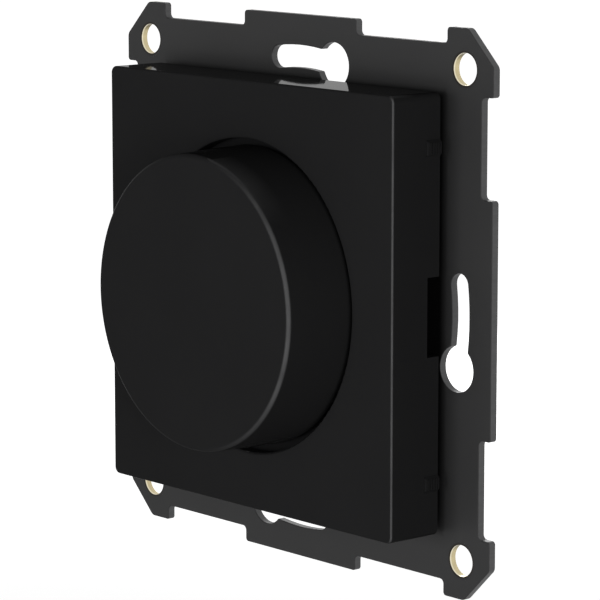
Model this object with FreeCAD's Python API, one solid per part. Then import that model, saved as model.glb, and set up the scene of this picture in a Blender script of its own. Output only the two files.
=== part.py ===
import FreeCAD, Part
import math
import os

# Wireless rotary dimmer for a wall box: a sheet-steel support frame, a clip-on
# square cover and a large push-and-turn knob. The electronics lie in a flat tray
# behind the cover, fed by a coin cell that is pushed in from the back.
#
# Millimetres. Every piece is drawn lying on its back: X to the right, Y up the
# wall and Z away from the wall, with the back of the frame at Z = 0. Each one is
# stood up before it is written, so that it ends with +X right, +Z up and its
# front facing -Y.

# Support frame, a punched plate
FRAME_THICKNESS = 1.0
SCREW_CIRCLE_R = 30.0       # wall-box screws lie 60 apart
SLOT_HALF_WIDTH = 1.45
SLOT_SWEEP_DEG = 20.1       # from the keyhole's centre to the slot's far end
KEYHOLE_R = 2.9
KEYHOLE_ANGLE_DEG = 12.5    # of the keyhole off the middle of its side
KEYHOLE_BLEND = 0.3         # where a keyhole runs into its slot
SLOT_MARGIN = 2.46          # metal outside a keyhole
TAB_HEIGHT = 2.0            # of the side and corner tabs beyond the plate
CORNER_TAB_WIDTH = 8.15
CORNER_CHAMFER = 4.5
CHAMFER_ROUND = 1.0
TAB_ROUND = 0.45
NOTCH_ROUND = 0.6
SIDE_TAB_HALF = 14.8        # left and right
END_TAB_HALF = 10.85        # top and bottom
FRAME_EDGE_ROUND = 0.12
FRAME_WINDOW_ROUND = 2.2    # corners of the middle opening

# Corner holes with their brass eyelets
CORNER_HOLE_INSET = 4.96
EYELET_BORE_R = 2.15
EYELET_WALL = 0.25

# Tray, which closes the middle of the frame
TRAY_FLOOR = 1.2
TRAY_WALL = 1.4
TRAY_CORNER_R = 3.0
TRAY_FIT = 0.3              # round the tray's lower part, in the frame
CELL_R = 10.0
CELL_THICKNESS = 3.2
CELL_CAP_STEP = 0.25
CELL_CAP_R = 8.5
CELL_EDGE_ROUND = 0.35
CELL_RECESS = 0.6           # from the wall to the cell
CELL_FIT = 0.3              # round the cell
CELL_WALL = 1.2
THUMB_R = 4.0
POST_R = 2.4
POST_INSET = 3.2            # from the tray's inner wall to a post's centre
LEDGE_HALF = 2.0
LEDGE_DEPTH = 1.2
LEDGE_PLACE = 9.5           # of a board ledge from the middle of its side

# Circuit board and what is soldered to it
CONTACT_ROOM = 0.4          # from the cell to the board
BOARD_THICKNESS = 1.0
BOARD_FIT = 0.5             # round the board, in the tray
BOARD_CORNER = 1.0
PART_ROOM = 2.0             # from the board to the lid
RADIO_LENGTH = 16.0
RADIO_WIDTH = 12.6
RADIO_BOARD_THICKNESS = 0.8
RADIO_CENTRE_X = -14.3
SHIELD_HEIGHT = 1.0
SHIELD_WALL = 0.15
SHIELD_INSET = 1.0
CHIP_SIDE = 6.0
CHIP_HEIGHT = 0.85
CHIP_X = 13.4
CHIP_Y = 4.6
CRYSTAL_LENGTH = 3.2
CRYSTAL_WIDTH = 2.5
CRYSTAL_HEIGHT = 0.7
CRYSTAL_Y = -2.2
CAPACITOR_LENGTH = 2.0
CAPACITOR_WIDTH = 1.25
CAPACITOR_HEIGHT = 1.1
CAPACITOR_PITCH = 3.2
CAPACITOR_COUNT = 4
CAPACITOR_Y = -7.0

# Cell contacts
CLIP_THICKNESS = 0.25
CLIP_WIDTH = 5.0
CLIP_FOOT = 2.6
CLIP_LIP = 1.1
CLIP_GAP = 0.05             # a sprung contact just off the cell
CLIP_ROOM = 0.35            # round a clip, in the tray
LEAF_LENGTH = 11.0
LEAF_WIDTH = 4.0
LEAF_THICKNESS = 0.15

# Lid over the tray
LID_THICKNESS = 0.8
LIP_WALL = 1.0
LIP_DEPTH = 0.9
LIP_FIT = 0.2
COLLAR_FIT = 0.5            # from the collar to the knob's skirt
COLLAR_WALL = 1.0
COLLAR_HEIGHT = 1.4
LID_WINDOW_FIT = 0.4        # round the encoder, in the lid

# Screws
LID_SCREW_R = 0.8
LID_SCREW_HEAD_R = 1.75
LID_SCREW_HEAD = 1.2
LID_SCREW_BITE = 1.4        # in the post
FRAME_SCREW_R = 1.0
FRAME_SCREW_HEAD_R = 1.9
FRAME_SCREW_HEAD = 1.1
FRAME_SCREW_GAP = 0.8       # from a head to the tray's wall
FRAME_SCREW_METAL = 2.4     # from a screw's centre to the frame's window
SCREW_HOLE_FIT = 0.3
SCREW_DRIVE_R = 0.6
SCREW_DRIVE_DEPTH = 0.6

# Square cover
COVER_SIDE = 55.0
COVER_WALL = 1.6
COVER_FRONT_WALL = 1.8
COVER_GAP = 1.3             # between the frame and the cover's back edge
COVER_LID_GAP = 0.3
COVER_CORNER_R = 0.9
COVER_EDGE_R = 0.3
COVER_INNER_R = 0.8
OPENING_EDGE_R = 0.25
PRY_HALF = 4.95
PRY_DEPTH = 1.95
PAD_HALF = 1.05
PAD_PLACE = 20.8
PAD_LENGTH = 2.35
PAD_HEIGHT = 0.3
PAD_RAMP = 0.35
COVER_RIB = 1.0
COVER_RIB_REACH = 1.4
COVER_RIB_PLACE = 9.0

# Snap hooks between the cover and the tray
SNAP_ROOM = 2.5             # from the tray's wall to the cover's wall
HOOK_HALF = 2.5
HOOK_HEIGHT = 1.2
HOOK_OVERLAP = 0.5
HOOK_GAP = 0.25
HOOK_FACE = 0.4             # flat at a hook's tip

# Push-and-turn encoder
ENCODER_SIDE = 12.4
ENCODER_ROUND = 0.5
ENCODER_HEIGHT = 4.2
ENCODER_FLOOR = 0.4
RUN_GAP = 0.05              # running fit of a shaft in its bore
CHAMBER_R = 5.3
PIT_R = 3.4
PIT_DEPTH = 1.4
BRACKET_THICKNESS = 0.8
BRACKET_LEG = 0.4
BRACKET_LEG_HALF = 2.2
NECK_R = 4.2
NECK_HEIGHT = 2.0
SHAFT_R = 3.0
SHAFT_CHAMFER = 0.4
SHAFT_FLAT = 1.5            # from the axis to the flat in the knob
SHAFT_FLAT_LENGTH = 3.7
FLANGE_R = 3.6
FLANGE_THICKNESS = 0.45
FLANGE_GAP = 0.05
STEM_R = 2.4
STEM_FLAT = 1.8
STEM_GAP = 0.05             # from the stem's tip to the dome
PRESS_TRAVEL = 0.5
ROTOR_FIT = 0.2
ROTOR_LIFT = 0.1            # off the chamber's floor
ROTOR_DISC = 0.9
ROTOR_HUB = 0.7
TOOTH_COUNT = 24
TOOTH_HEIGHT = 0.3
TOOTH_INNER_R = 4.0
TOOTH_OUTER_R = 4.9
TOOTH_HALF = 0.22
DETENT_THICKNESS = 0.2
DETENT_INNER_R = 3.9
DETENT_FIT = 0.1
DETENT_BUMP_R = 0.3
DETENT_BUMP_GAP = 0.1
DOME_R = 2.9
DOME_HEIGHT = 0.6
DOME_THICKNESS = 0.12

# Knob
KNOB_HEIGHT = 9.05          # its face above the cover
KNOB_BASE_R = 19.2
KNOB_FRONT_R = 18.8
KNOB_GAP = 0.95             # round the knob, in the cover
KNOB_SINK = 1.3             # of the skirt below the cover's face
KNOB_EDGE_R = 0.65
KNOB_WALL = 1.5
KNOB_FACE_WALL = 1.6
KNOB_RIB = 0.9
KNOB_RIB_COUNT = 8
KNOB_RIB_DEPTH = 3.9
KNOB_RING_R = 12.0
BOSS_R = 5.0
BOSS_CLEARANCE = 0.2        # over the encoder's neck, with the knob pressed
BORE_END_GAP = 0.3
LEAF_SPRING_THICKNESS = 0.3
LEAF_SPRING_END = 0.3       # from its top to the shaft's end
LEAF_SPRING_HALF = 1.7
LEAF_SPRING_GAP = 0.03

# Heights above the wall, worked out from the sizes above
TRAY_FLOOR_TOP = FRAME_THICKNESS + TRAY_FLOOR
BOARD_BACK = CELL_RECESS + CELL_THICKNESS + CONTACT_ROOM
BOARD_FRONT = BOARD_BACK + BOARD_THICKNESS
LID_BACK = BOARD_FRONT + PART_ROOM
LID_FRONT = LID_BACK + LID_THICKNESS
COVER_BACK = FRAME_THICKNESS + COVER_GAP
COVER_INSIDE = LID_FRONT + COVER_LID_GAP
COVER_FACE = COVER_INSIDE + COVER_FRONT_WALL
PIT_FLOOR = BOARD_FRONT + ENCODER_FLOOR
CHAMBER_FLOOR = PIT_FLOOR + PIT_DEPTH
ENCODER_TOP = BOARD_FRONT + ENCODER_HEIGHT
BRACKET_TOP = ENCODER_TOP + BRACKET_THICKNESS
NECK_TOP = BRACKET_TOP + NECK_HEIGHT
DISC_BACK = CHAMBER_FLOOR + ROTOR_LIFT
DISC_FRONT = DISC_BACK + ROTOR_DISC
FLANGE_FRONT = ENCODER_TOP - FLANGE_GAP
STEM_TIP = PIT_FLOOR + DOME_HEIGHT + STEM_GAP
KNOB_FACE = COVER_FACE + KNOB_HEIGHT
KNOB_FOOT = COVER_FACE - KNOB_SINK
KNOB_INSIDE = KNOB_FACE - KNOB_FACE_WALL
BOSS_FOOT = NECK_TOP + PRESS_TRAVEL + BOSS_CLEARANCE
SHAFT_TOP = KNOB_INSIDE - BORE_END_GAP
WEB_FOOT = SHAFT_TOP - SHAFT_FLAT_LENGTH + BORE_END_GAP

# Distances from the middle, worked out in the same way
FRAME_REACH = SCREW_CIRCLE_R + KEYHOLE_R + SLOT_MARGIN
FRAME_EDGE = FRAME_REACH - TAB_HEIGHT
CORNER_TAB_INNER = FRAME_REACH - CORNER_TAB_WIDTH
CORNER_HOLE_AT = FRAME_REACH - CORNER_HOLE_INSET
COVER_HALF = COVER_SIDE / 2
COVER_INNER_HALF = COVER_HALF - COVER_WALL
TRAY_HALF = COVER_INNER_HALF - SNAP_ROOM
TRAY_INNER_HALF = TRAY_HALF - TRAY_WALL
FRAME_SCREW_AT = TRAY_INNER_HALF - FRAME_SCREW_GAP - FRAME_SCREW_HEAD_R
FRAME_WINDOW_HALF = FRAME_SCREW_AT - FRAME_SCREW_METAL
TRAY_FOOT_HALF = FRAME_WINDOW_HALF - TRAY_FIT
CELL_WELL_R = CELL_R + CELL_FIT
CELL_WELL_OUTER_R = CELL_WELL_R + CELL_WALL
POST_AT = TRAY_INNER_HALF - POST_INSET
BOARD_HALF = TRAY_INNER_HALF - BOARD_FIT
OPENING_R = KNOB_BASE_R + KNOB_GAP
COLLAR_R = KNOB_BASE_R - KNOB_WALL - COLLAR_FIT
NUDGE = 1.0                 # how far a cutting tool runs past a face

FORWARD = FreeCAD.Vector(0, 0, 1)
CENTRE = FreeCAD.Vector(0, 0, 0)


def point(x, y, z=0.0):
    return FreeCAD.Vector(x, y, z)


def polar(radius, degrees, z=0.0):
    angle = math.radians(degrees)
    return point(radius * math.cos(angle), radius * math.sin(angle), z)


def turned(shape, degrees):
    """A copy of the shape, turned about the dimmer's axis."""
    copy = shape.copy()
    copy.rotate(CENTRE, FORWARD, degrees)
    return copy


def outline(corners, z):
    """A flat face at height z. Each corner is (x, y, rounding radius)."""
    edges = []
    starts = []
    ends = []
    count = len(corners)
    for index, (x, y, radius) in enumerate(corners):
        here = point(x, y, z)
        before = corners[index - 1]
        after = corners[(index + 1) % count]
        back = point(before[0] - x, before[1] - y).normalize()
        on = point(after[0] - x, after[1] - y).normalize()
        half_angle = back.getAngle(on) / 2
        trim = radius / math.tan(half_angle)
        start = here + back * trim
        end = here + on * trim
        if radius > 0:
            bisector = (back + on).normalize()
            middle = here + bisector * (radius / math.sin(half_angle) - radius)
            edges.append(Part.Arc(start, middle, end).toShape())
        starts.append(start)
        ends.append(end)
    for index in range(count):
        leave = ends[index]
        reach = starts[(index + 1) % count]
        if leave.distanceToPoint(reach) > 1e-6:
            edges.append(Part.LineSegment(leave, reach).toShape())
    return Part.Face(Part.Wire(Part.__sortEdges__(edges)))


def block(corners, z_low, z_high):
    return outline(corners, z_low).extrude(FORWARD * (z_high - z_low))


def rectangle(half_x, half_y, radius, x=0.0, y=0.0):
    return [
        (x + half_x, y - half_y, radius),
        (x + half_x, y + half_y, radius),
        (x - half_x, y + half_y, radius),
        (x - half_x, y - half_y, radius),
    ]


def slab(half_x, half_y, radius, z_low, z_high, x=0.0, y=0.0):
    """A plate with rounded corners, between two heights."""
    return block(rectangle(half_x, half_y, radius, x, y), z_low, z_high)


def disc(radius, z_low, z_high, x=0.0, y=0.0):
    return Part.makeCylinder(radius, z_high - z_low, point(x, y, z_low))


def ring(outer, inner, z_low, z_high):
    return disc(outer, z_low, z_high).cut(disc(inner, z_low, z_high))


def d_rod(radius, flat, z_low, z_high):
    """A round rod with one flat, on the side of +Y."""
    keep = slab(radius + NUDGE, radius + NUDGE, 0, z_low, z_high, 0, flat - radius - NUDGE)
    return disc(radius, z_low, z_high).common(keep)


def revolved(profile):
    """Turns a closed profile of (radius, height) corners about the axis."""
    points = [point(radius, 0, height) for radius, height in profile]
    wire = Part.makePolygon(points + points[:1])
    return Part.Face(wire).revolve(CENTRE, FORWARD, 360)


def rounded(shape, radius, wanted):
    """Rounds the edges for which wanted(edge) is true."""
    return shape.makeFillet(radius, [edge for edge in shape.Edges if wanted(edge)])


def lies_at(edge, z):
    box = edge.BoundBox
    return abs(box.ZMin - z) < 1e-4 and abs(box.ZMax - z) < 1e-4


def round_edge(edge, radius):
    return isinstance(edge.Curve, Part.Circle) and abs(edge.Curve.Radius - radius) < 1e-4


def four_corners(reach):
    return [(x * reach, y * reach) for x, y in ((1, 1), (-1, 1), (-1, -1), (1, -1))]


def together(solids):
    """One piece from overlapping or touching solids."""
    return solids[0].fuse(solids[1:]).removeSplitter()


# Support frame

def frame_corners():
    """The plate's outline, from one quarter mirrored to the other three."""
    quarter = [
        (FRAME_REACH, SIDE_TAB_HALF, TAB_ROUND),
        (FRAME_EDGE, SIDE_TAB_HALF, NOTCH_ROUND),
        (FRAME_EDGE, CORNER_TAB_INNER, NOTCH_ROUND),
        (FRAME_REACH, CORNER_TAB_INNER, TAB_ROUND),
        (FRAME_REACH, FRAME_REACH - CORNER_CHAMFER, CHAMFER_ROUND),
        (FRAME_REACH - CORNER_CHAMFER, FRAME_REACH, CHAMFER_ROUND),
        (CORNER_TAB_INNER, FRAME_REACH, TAB_ROUND),
        (CORNER_TAB_INNER, FRAME_EDGE, NOTCH_ROUND),
        (END_TAB_HALF, FRAME_EDGE, NOTCH_ROUND),
        (END_TAB_HALF, FRAME_REACH, TAB_ROUND),
    ]
    corners = list(quarter)
    corners += [(-x, y, radius) for x, y, radius in reversed(quarter)]
    corners += [(-x, -y, radius) for x, y, radius in quarter]
    corners += [(x, -y, radius) for x, y, radius in reversed(quarter)]
    return corners


def keyhole_slot():
    """The hole on the right: a curved slot that ends below in a round keyhole."""
    first = -KEYHOLE_ANGLE_DEG
    last = first + SLOT_SWEEP_DEG
    middle = (first + last) / 2
    outer_r = SCREW_CIRCLE_R + SLOT_HALF_WIDTH
    inner_r = SCREW_CIRCLE_R - SLOT_HALF_WIDTH
    tip = polar(SCREW_CIRCLE_R, last) + polar(SLOT_HALF_WIDTH, last + 90)
    edges = [
        Part.Arc(polar(outer_r, first), polar(outer_r, middle), polar(outer_r, last)).toShape(),
        Part.Arc(polar(outer_r, last), tip, polar(inner_r, last)).toShape(),
        Part.Arc(polar(inner_r, last), polar(inner_r, middle), polar(inner_r, first)).toShape(),
        Part.LineSegment(polar(inner_r, first), polar(outer_r, first)).toShape(),
    ]
    slot = Part.Face(Part.Wire(edges)).extrude(FORWARD * FRAME_THICKNESS)
    centre = polar(SCREW_CIRCLE_R, first)
    hole = together([slot, disc(KEYHOLE_R, 0, FRAME_THICKNESS, centre.x, centre.y)])

    def in_the_neck(edge):
        upright = edge.BoundBox.ZLength > FRAME_THICKNESS / 2
        away = math.hypot(edge.BoundBox.Center.x - centre.x, edge.BoundBox.Center.y - centre.y)
        is_line = isinstance(edge.Curve, Part.Line)
        return upright and is_line and abs(away - KEYHOLE_R) < 1e-3 and edge.BoundBox.Center.y > centre.y
    return rounded(hole, KEYHOLE_BLEND, in_the_neck)


def support_frame():
    plate = block(frame_corners(), 0, FRAME_THICKNESS)
    for quarter in range(4):
        plate = plate.cut(turned(keyhole_slot(), 90 * quarter))
    plate = rounded(plate, FRAME_EDGE_ROUND, lambda edge: lies_at(edge, FRAME_THICKNESS))
    window = slab(FRAME_WINDOW_HALF, FRAME_WINDOW_HALF, FRAME_WINDOW_ROUND, 0, FRAME_THICKNESS)
    holes = [window]
    for x, y in four_corners(CORNER_HOLE_AT):
        holes.append(disc(EYELET_BORE_R + EYELET_WALL, 0, FRAME_THICKNESS, x, y))
    for x, y in frame_screw_places():
        holes.append(disc(FRAME_SCREW_R, 0, FRAME_THICKNESS, x, y))
    return plate.cut(holes)


def frame_screw_places():
    at = FRAME_SCREW_AT
    return [(at, 0), (0, at), (-at, 0), (0, -at)]


def corner_eyelet(x, y):
    sleeve = disc(EYELET_BORE_R + EYELET_WALL, 0, FRAME_THICKNESS, x, y)
    return sleeve.cut(disc(EYELET_BORE_R, 0, FRAME_THICKNESS, x, y))


# Tray and lid

def module_tray():
    body = slab(TRAY_HALF, TRAY_HALF, TRAY_CORNER_R, FRAME_THICKNESS, LID_BACK)
    room = slab(TRAY_INNER_HALF, TRAY_INNER_HALF, TRAY_CORNER_R - TRAY_WALL, TRAY_FLOOR_TOP, LID_BACK)
    foot_r = FRAME_WINDOW_ROUND - TRAY_FIT
    foot = slab(TRAY_FOOT_HALF, TRAY_FOOT_HALF, foot_r, 0, TRAY_FLOOR_TOP)
    pocket_half = TRAY_FOOT_HALF - TRAY_FLOOR
    pocket = slab(pocket_half, pocket_half, foot_r / 2, TRAY_FLOOR, TRAY_FLOOR_TOP)
    shell = together([body.cut(room), foot]).cut(pocket)
    well_top = BOARD_BACK - CLIP_THICKNESS - CLIP_GAP
    adds = [disc(CELL_WELL_OUTER_R, 0, well_top)]
    for x, y in four_corners(POST_AT):
        adds.append(disc(POST_R, TRAY_FLOOR_TOP, BOARD_BACK, x, y))
    adds += board_ledges()
    adds += [turned(tray_hook(place), 90 * side) for side in range(4) for place in (-PAD_PLACE, PAD_PLACE)]
    tray = together([shell] + adds)
    cuts = [disc(CELL_WELL_R, 0, well_top)]
    cuts.append(disc(THUMB_R, 0, CELL_RECESS + CELL_THICKNESS / 2, 0, -CELL_WELL_R))
    clip_slot = slab(
        CLIP_THICKNESS + CLIP_ROOM, CLIP_WIDTH / 2 + CLIP_ROOM, 0, 0, well_top, CELL_WELL_R, 0)
    cuts += [clip_slot, turned(clip_slot, 180)]
    for x, y in four_corners(POST_AT):
        cuts.append(disc(LID_SCREW_R, BOARD_BACK - LID_SCREW_BITE, BOARD_BACK, x, y))
    for x, y in frame_screw_places():
        cuts.append(disc(FRAME_SCREW_R, FRAME_THICKNESS, TRAY_FLOOR_TOP, x, y))
    return tray.cut(cuts)


def board_ledges():
    """Small steps on the tray's walls, which the board rests on."""
    at = TRAY_INNER_HALF - LEDGE_DEPTH / 2
    step = slab(LEDGE_DEPTH / 2, LEDGE_HALF, 0, TRAY_FLOOR_TOP, BOARD_BACK, at, LEDGE_PLACE)
    other = slab(LEDGE_DEPTH / 2, LEDGE_HALF, 0, TRAY_FLOOR_TOP, BOARD_BACK, at, -LEDGE_PLACE)
    return [turned(ledge, 90 * side) for side in range(4) for ledge in (step, other)]


def hook(wall, reach, z_flat, z_slope, place):
    """A snap hook on the right: flat at z_flat, sloped away towards z_slope."""
    lean = math.copysign(HOOK_FACE, z_slope - z_flat)
    points = [point(wall, 0, z_flat), point(reach, 0, z_flat)]
    points += [point(reach, 0, z_flat + lean), point(wall, 0, z_slope)]
    face = Part.Face(Part.makePolygon(points + points[:1]))
    face.translate(point(0, place - HOOK_HALF))
    return face.extrude(point(0, 2 * HOOK_HALF))


def hook_meeting():
    """Where the hooks overlap: outwards from the middle, and above the wall."""
    return (TRAY_HALF + COVER_INNER_HALF) / 2, COVER_BACK + HOOK_HEIGHT + HOOK_GAP


def tray_hook(place):
    across, height = hook_meeting()
    return hook(TRAY_HALF, across + HOOK_OVERLAP / 2, height + HOOK_GAP, height + HOOK_GAP + HOOK_HEIGHT, place)


def cover_hook(place):
    across, height = hook_meeting()
    return hook(COVER_INNER_HALF, across - HOOK_OVERLAP / 2, height, height - HOOK_HEIGHT, place)


def module_lid():
    plate = slab(TRAY_HALF, TRAY_HALF, TRAY_CORNER_R, LID_BACK, LID_FRONT)
    lip_half = TRAY_INNER_HALF - LIP_FIT
    lip = slab(lip_half, lip_half, TRAY_CORNER_R - TRAY_WALL, LID_BACK - LIP_DEPTH, LID_BACK)
    lip_room = lip_half - LIP_WALL
    lip = lip.cut(slab(lip_room, lip_room, 0, LID_BACK - LIP_DEPTH, LID_BACK))
    collar = ring(COLLAR_R, COLLAR_R - COLLAR_WALL, LID_FRONT, LID_FRONT + COLLAR_HEIGHT)
    bosses = [disc(POST_R, BOARD_FRONT, LID_BACK, x, y) for x, y in four_corners(POST_AT)]
    lid = together([plate, lip, collar] + bosses)
    window_half = ENCODER_SIDE / 2 + BRACKET_LEG + LID_WINDOW_FIT
    cuts = [slab(window_half, window_half, ENCODER_ROUND, LID_BACK, LID_FRONT)]
    for x, y in four_corners(POST_AT):
        cuts.append(disc(LID_SCREW_R + SCREW_HOLE_FIT, BOARD_FRONT, LID_FRONT, x, y))
        cuts.append(disc(LID_SCREW_HEAD_R + SCREW_HOLE_FIT, lid_screw_seat(), LID_FRONT, x, y))
    return lid.cut(cuts)


def lid_screw_seat():
    return LID_FRONT - LID_SCREW_HEAD - SCREW_HOLE_FIT


def screw(shank_r, head_r, tip, seat, head, x, y):
    """A pan-head screw with its tip at the lower height."""
    body = together([disc(shank_r, tip, seat, x, y), disc(head_r, seat, seat + head, x, y)])
    body = rounded(body, head / 3, lambda edge: lies_at(edge, seat + head))
    drive = slab(SCREW_DRIVE_R, SCREW_DRIVE_R / 3, 0, seat + head - SCREW_DRIVE_DEPTH, seat + head, x, y)
    other = slab(SCREW_DRIVE_R / 3, SCREW_DRIVE_R, 0, seat + head - SCREW_DRIVE_DEPTH, seat + head, x, y)
    return body.cut([drive, other])


def lid_screws():
    tip = BOARD_BACK - LID_SCREW_BITE
    return Part.makeCompound([
        screw(LID_SCREW_R, LID_SCREW_HEAD_R, tip, lid_screw_seat(), LID_SCREW_HEAD, x, y)
        for x, y in four_corners(POST_AT)])


def frame_screws():
    return Part.makeCompound([
        screw(FRAME_SCREW_R, FRAME_SCREW_HEAD_R, 0, TRAY_FLOOR_TOP, FRAME_SCREW_HEAD, x, y)
        for x, y in frame_screw_places()])


# Coin cell and its contacts

def coin_cell():
    top = CELL_RECESS + CELL_THICKNESS
    can = disc(CELL_R, CELL_RECESS, top - CELL_CAP_STEP)
    can = rounded(can, CELL_EDGE_ROUND, lambda edge: round_edge(edge, CELL_R))
    return together([can, disc(CELL_CAP_R, top - CELL_CAP_STEP, top)])


def cell_clip():
    """The right-hand clip: a foot on the board, a leg and a lip under the can."""
    leg_in = CELL_R + CLIP_GAP
    leg_out = leg_in + CLIP_THICKNESS
    lip_top = CELL_RECESS - CLIP_GAP
    foot_back = BOARD_BACK - CLIP_THICKNESS
    points = [
        point(leg_in - CLIP_LIP, 0, lip_top - CLIP_THICKNESS),
        point(leg_out, 0, lip_top - CLIP_THICKNESS),
        point(leg_out, 0, foot_back),
        point(leg_out + CLIP_FOOT, 0, foot_back),
        point(leg_out + CLIP_FOOT, 0, BOARD_BACK),
        point(leg_in, 0, BOARD_BACK),
        point(leg_in, 0, lip_top),
        point(leg_in - CLIP_LIP, 0, lip_top),
    ]
    face = Part.Face(Part.makePolygon(points + points[:1]))
    face.translate(point(0, -CLIP_WIDTH / 2))
    return face.extrude(point(0, CLIP_WIDTH))


def bowed_strip(half_length, rise, thickness, base):
    """The side view of a bowed strip that stands on its ends, as a flat face."""
    edges = [
        Part.Arc(point(-half_length, 0, base), point(0, 0, base + rise - thickness),
                 point(half_length, 0, base)).toShape(),
        Part.LineSegment(point(half_length, 0, base), point(half_length, 0, base + thickness)).toShape(),
        Part.Arc(point(half_length, 0, base + thickness), point(0, 0, base + rise),
                 point(-half_length, 0, base + thickness)).toShape(),
        Part.LineSegment(point(-half_length, 0, base + thickness), point(-half_length, 0, base)).toShape(),
    ]
    return Part.Face(Part.Wire(edges))


def cell_leaf():
    """The leaf under the board that bows down to the cell's cap."""
    strip = bowed_strip(LEAF_LENGTH / 2, CONTACT_ROOM, LEAF_THICKNESS, 0)
    strip.translate(point(0, -LEAF_WIDTH / 2))
    leaf = strip.extrude(point(0, LEAF_WIDTH))
    leaf.rotate(CENTRE, point(1, 0, 0), 180)
    leaf.translate(FORWARD * BOARD_BACK)
    return leaf


# Circuit board

def circuit_board():
    board = slab(BOARD_HALF, BOARD_HALF, BOARD_CORNER, BOARD_BACK, BOARD_FRONT)
    hole_r = LID_SCREW_R + SCREW_HOLE_FIT
    return board.cut([disc(hole_r, BOARD_BACK, BOARD_FRONT, x, y) for x, y in four_corners(POST_AT)])


def radio_board():
    return slab(RADIO_WIDTH / 2, RADIO_LENGTH / 2, 0, BOARD_FRONT,
                BOARD_FRONT + RADIO_BOARD_THICKNESS, RADIO_CENTRE_X, 0)


def radio_shield():
    base = BOARD_FRONT + RADIO_BOARD_THICKNESS
    half = RADIO_WIDTH / 2 - SHIELD_INSET
    can = slab(half, half, SHIELD_WALL * 2, base, base + SHIELD_HEIGHT, RADIO_CENTRE_X, 0)
    hollow = half - SHIELD_WALL
    inside = slab(hollow, hollow, SHIELD_WALL, base, base + SHIELD_HEIGHT - SHIELD_WALL, RADIO_CENTRE_X, 0)
    return can.cut(inside)


def main_chip():
    half = CHIP_SIDE / 2
    return slab(half, half, 0, BOARD_FRONT, BOARD_FRONT + CHIP_HEIGHT, CHIP_X, CHIP_Y)


def crystal_can():
    return slab(CRYSTAL_LENGTH / 2, CRYSTAL_WIDTH / 2, CRYSTAL_WIDTH / 8, BOARD_FRONT,
                BOARD_FRONT + CRYSTAL_HEIGHT, CHIP_X, CRYSTAL_Y)


def ceramic_capacitors():
    first = CHIP_X - CAPACITOR_PITCH * (CAPACITOR_COUNT - 1) / 2
    return Part.makeCompound([
        slab(CAPACITOR_WIDTH / 2, CAPACITOR_LENGTH / 2, 0, BOARD_FRONT, BOARD_FRONT + CAPACITOR_HEIGHT,
             first + CAPACITOR_PITCH * number, CAPACITOR_Y)
        for number in range(CAPACITOR_COUNT)])


# Encoder

def encoder_housing():
    half = ENCODER_SIDE / 2
    body = slab(half, half, ENCODER_ROUND, BOARD_FRONT, ENCODER_TOP)
    return body.cut([disc(CHAMBER_R, CHAMBER_FLOOR, ENCODER_TOP), disc(PIT_R, PIT_FLOOR, CHAMBER_FLOOR)])


def encoder_bracket():
    """Pressed plate with a turned neck and two legs that hold the housing down."""
    half = ENCODER_SIDE / 2
    plate = slab(half + BRACKET_LEG, half, 0, ENCODER_TOP, BRACKET_TOP)
    leg = slab(BRACKET_LEG / 2, BRACKET_LEG_HALF, 0, BOARD_FRONT, BRACKET_TOP, half + BRACKET_LEG / 2, 0)
    neck = disc(NECK_R, BRACKET_TOP, NECK_TOP)
    bracket = together([plate, leg, turned(leg, 180), neck])
    return bracket.cut(disc(SHAFT_R + RUN_GAP, ENCODER_TOP, NECK_TOP))


def encoder_shaft():
    """Upper shaft with the knob's flat, a flange under the bracket and a keyed stem."""
    upper = disc(SHAFT_R, FLANGE_FRONT, SHAFT_TOP)
    upper = upper.makeChamfer(SHAFT_CHAMFER, [edge for edge in upper.Edges if lies_at(edge, SHAFT_TOP)])
    flat = slab(SHAFT_R, SHAFT_R, 0, SHAFT_TOP - SHAFT_FLAT_LENGTH, SHAFT_TOP, 0, SHAFT_FLAT + SHAFT_R)
    flange = disc(FLANGE_R, FLANGE_FRONT - FLANGE_THICKNESS, FLANGE_FRONT)
    stem = d_rod(STEM_R, STEM_FLAT, STEM_TIP, FLANGE_FRONT - FLANGE_THICKNESS)
    return together([upper.cut(flat), flange, stem])


def encoder_rotor():
    """Wiper wheel that the shaft turns and slides through, with detent teeth."""
    wheel = disc(CHAMBER_R - ROTOR_FIT, DISC_BACK, DISC_FRONT)
    hub = disc(PIT_R - ROTOR_FIT, DISC_BACK - ROTOR_HUB, DISC_BACK)
    tooth_middle = (TOOTH_INNER_R + TOOTH_OUTER_R) / 2
    tooth = slab((TOOTH_OUTER_R - TOOTH_INNER_R) / 2, TOOTH_HALF, 0, DISC_FRONT,
                 DISC_FRONT + TOOTH_HEIGHT, tooth_middle, 0)
    teeth = [turned(tooth, 360 / TOOTH_COUNT * number) for number in range(TOOTH_COUNT)]
    rotor = together([wheel, hub] + teeth)
    return rotor.cut(d_rod(STEM_R + RUN_GAP, STEM_FLAT + RUN_GAP, DISC_BACK - ROTOR_HUB, DISC_FRONT))


def detent_spring():
    """Spring ring under the bracket, with two bumps that ride over the teeth."""
    back = ENCODER_TOP - DETENT_THICKNESS
    band = ring(CHAMBER_R - DETENT_FIT, DETENT_INNER_R, back, ENCODER_TOP)
    bump_foot = DISC_FRONT + TOOTH_HEIGHT + DETENT_BUMP_GAP
    bump_at = (TOOTH_INNER_R + TOOTH_OUTER_R) / 2
    bumps = [disc(DETENT_BUMP_R, bump_foot, back, side * bump_at, 0) for side in (-1, 1)]
    return together([band] + bumps)


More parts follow.
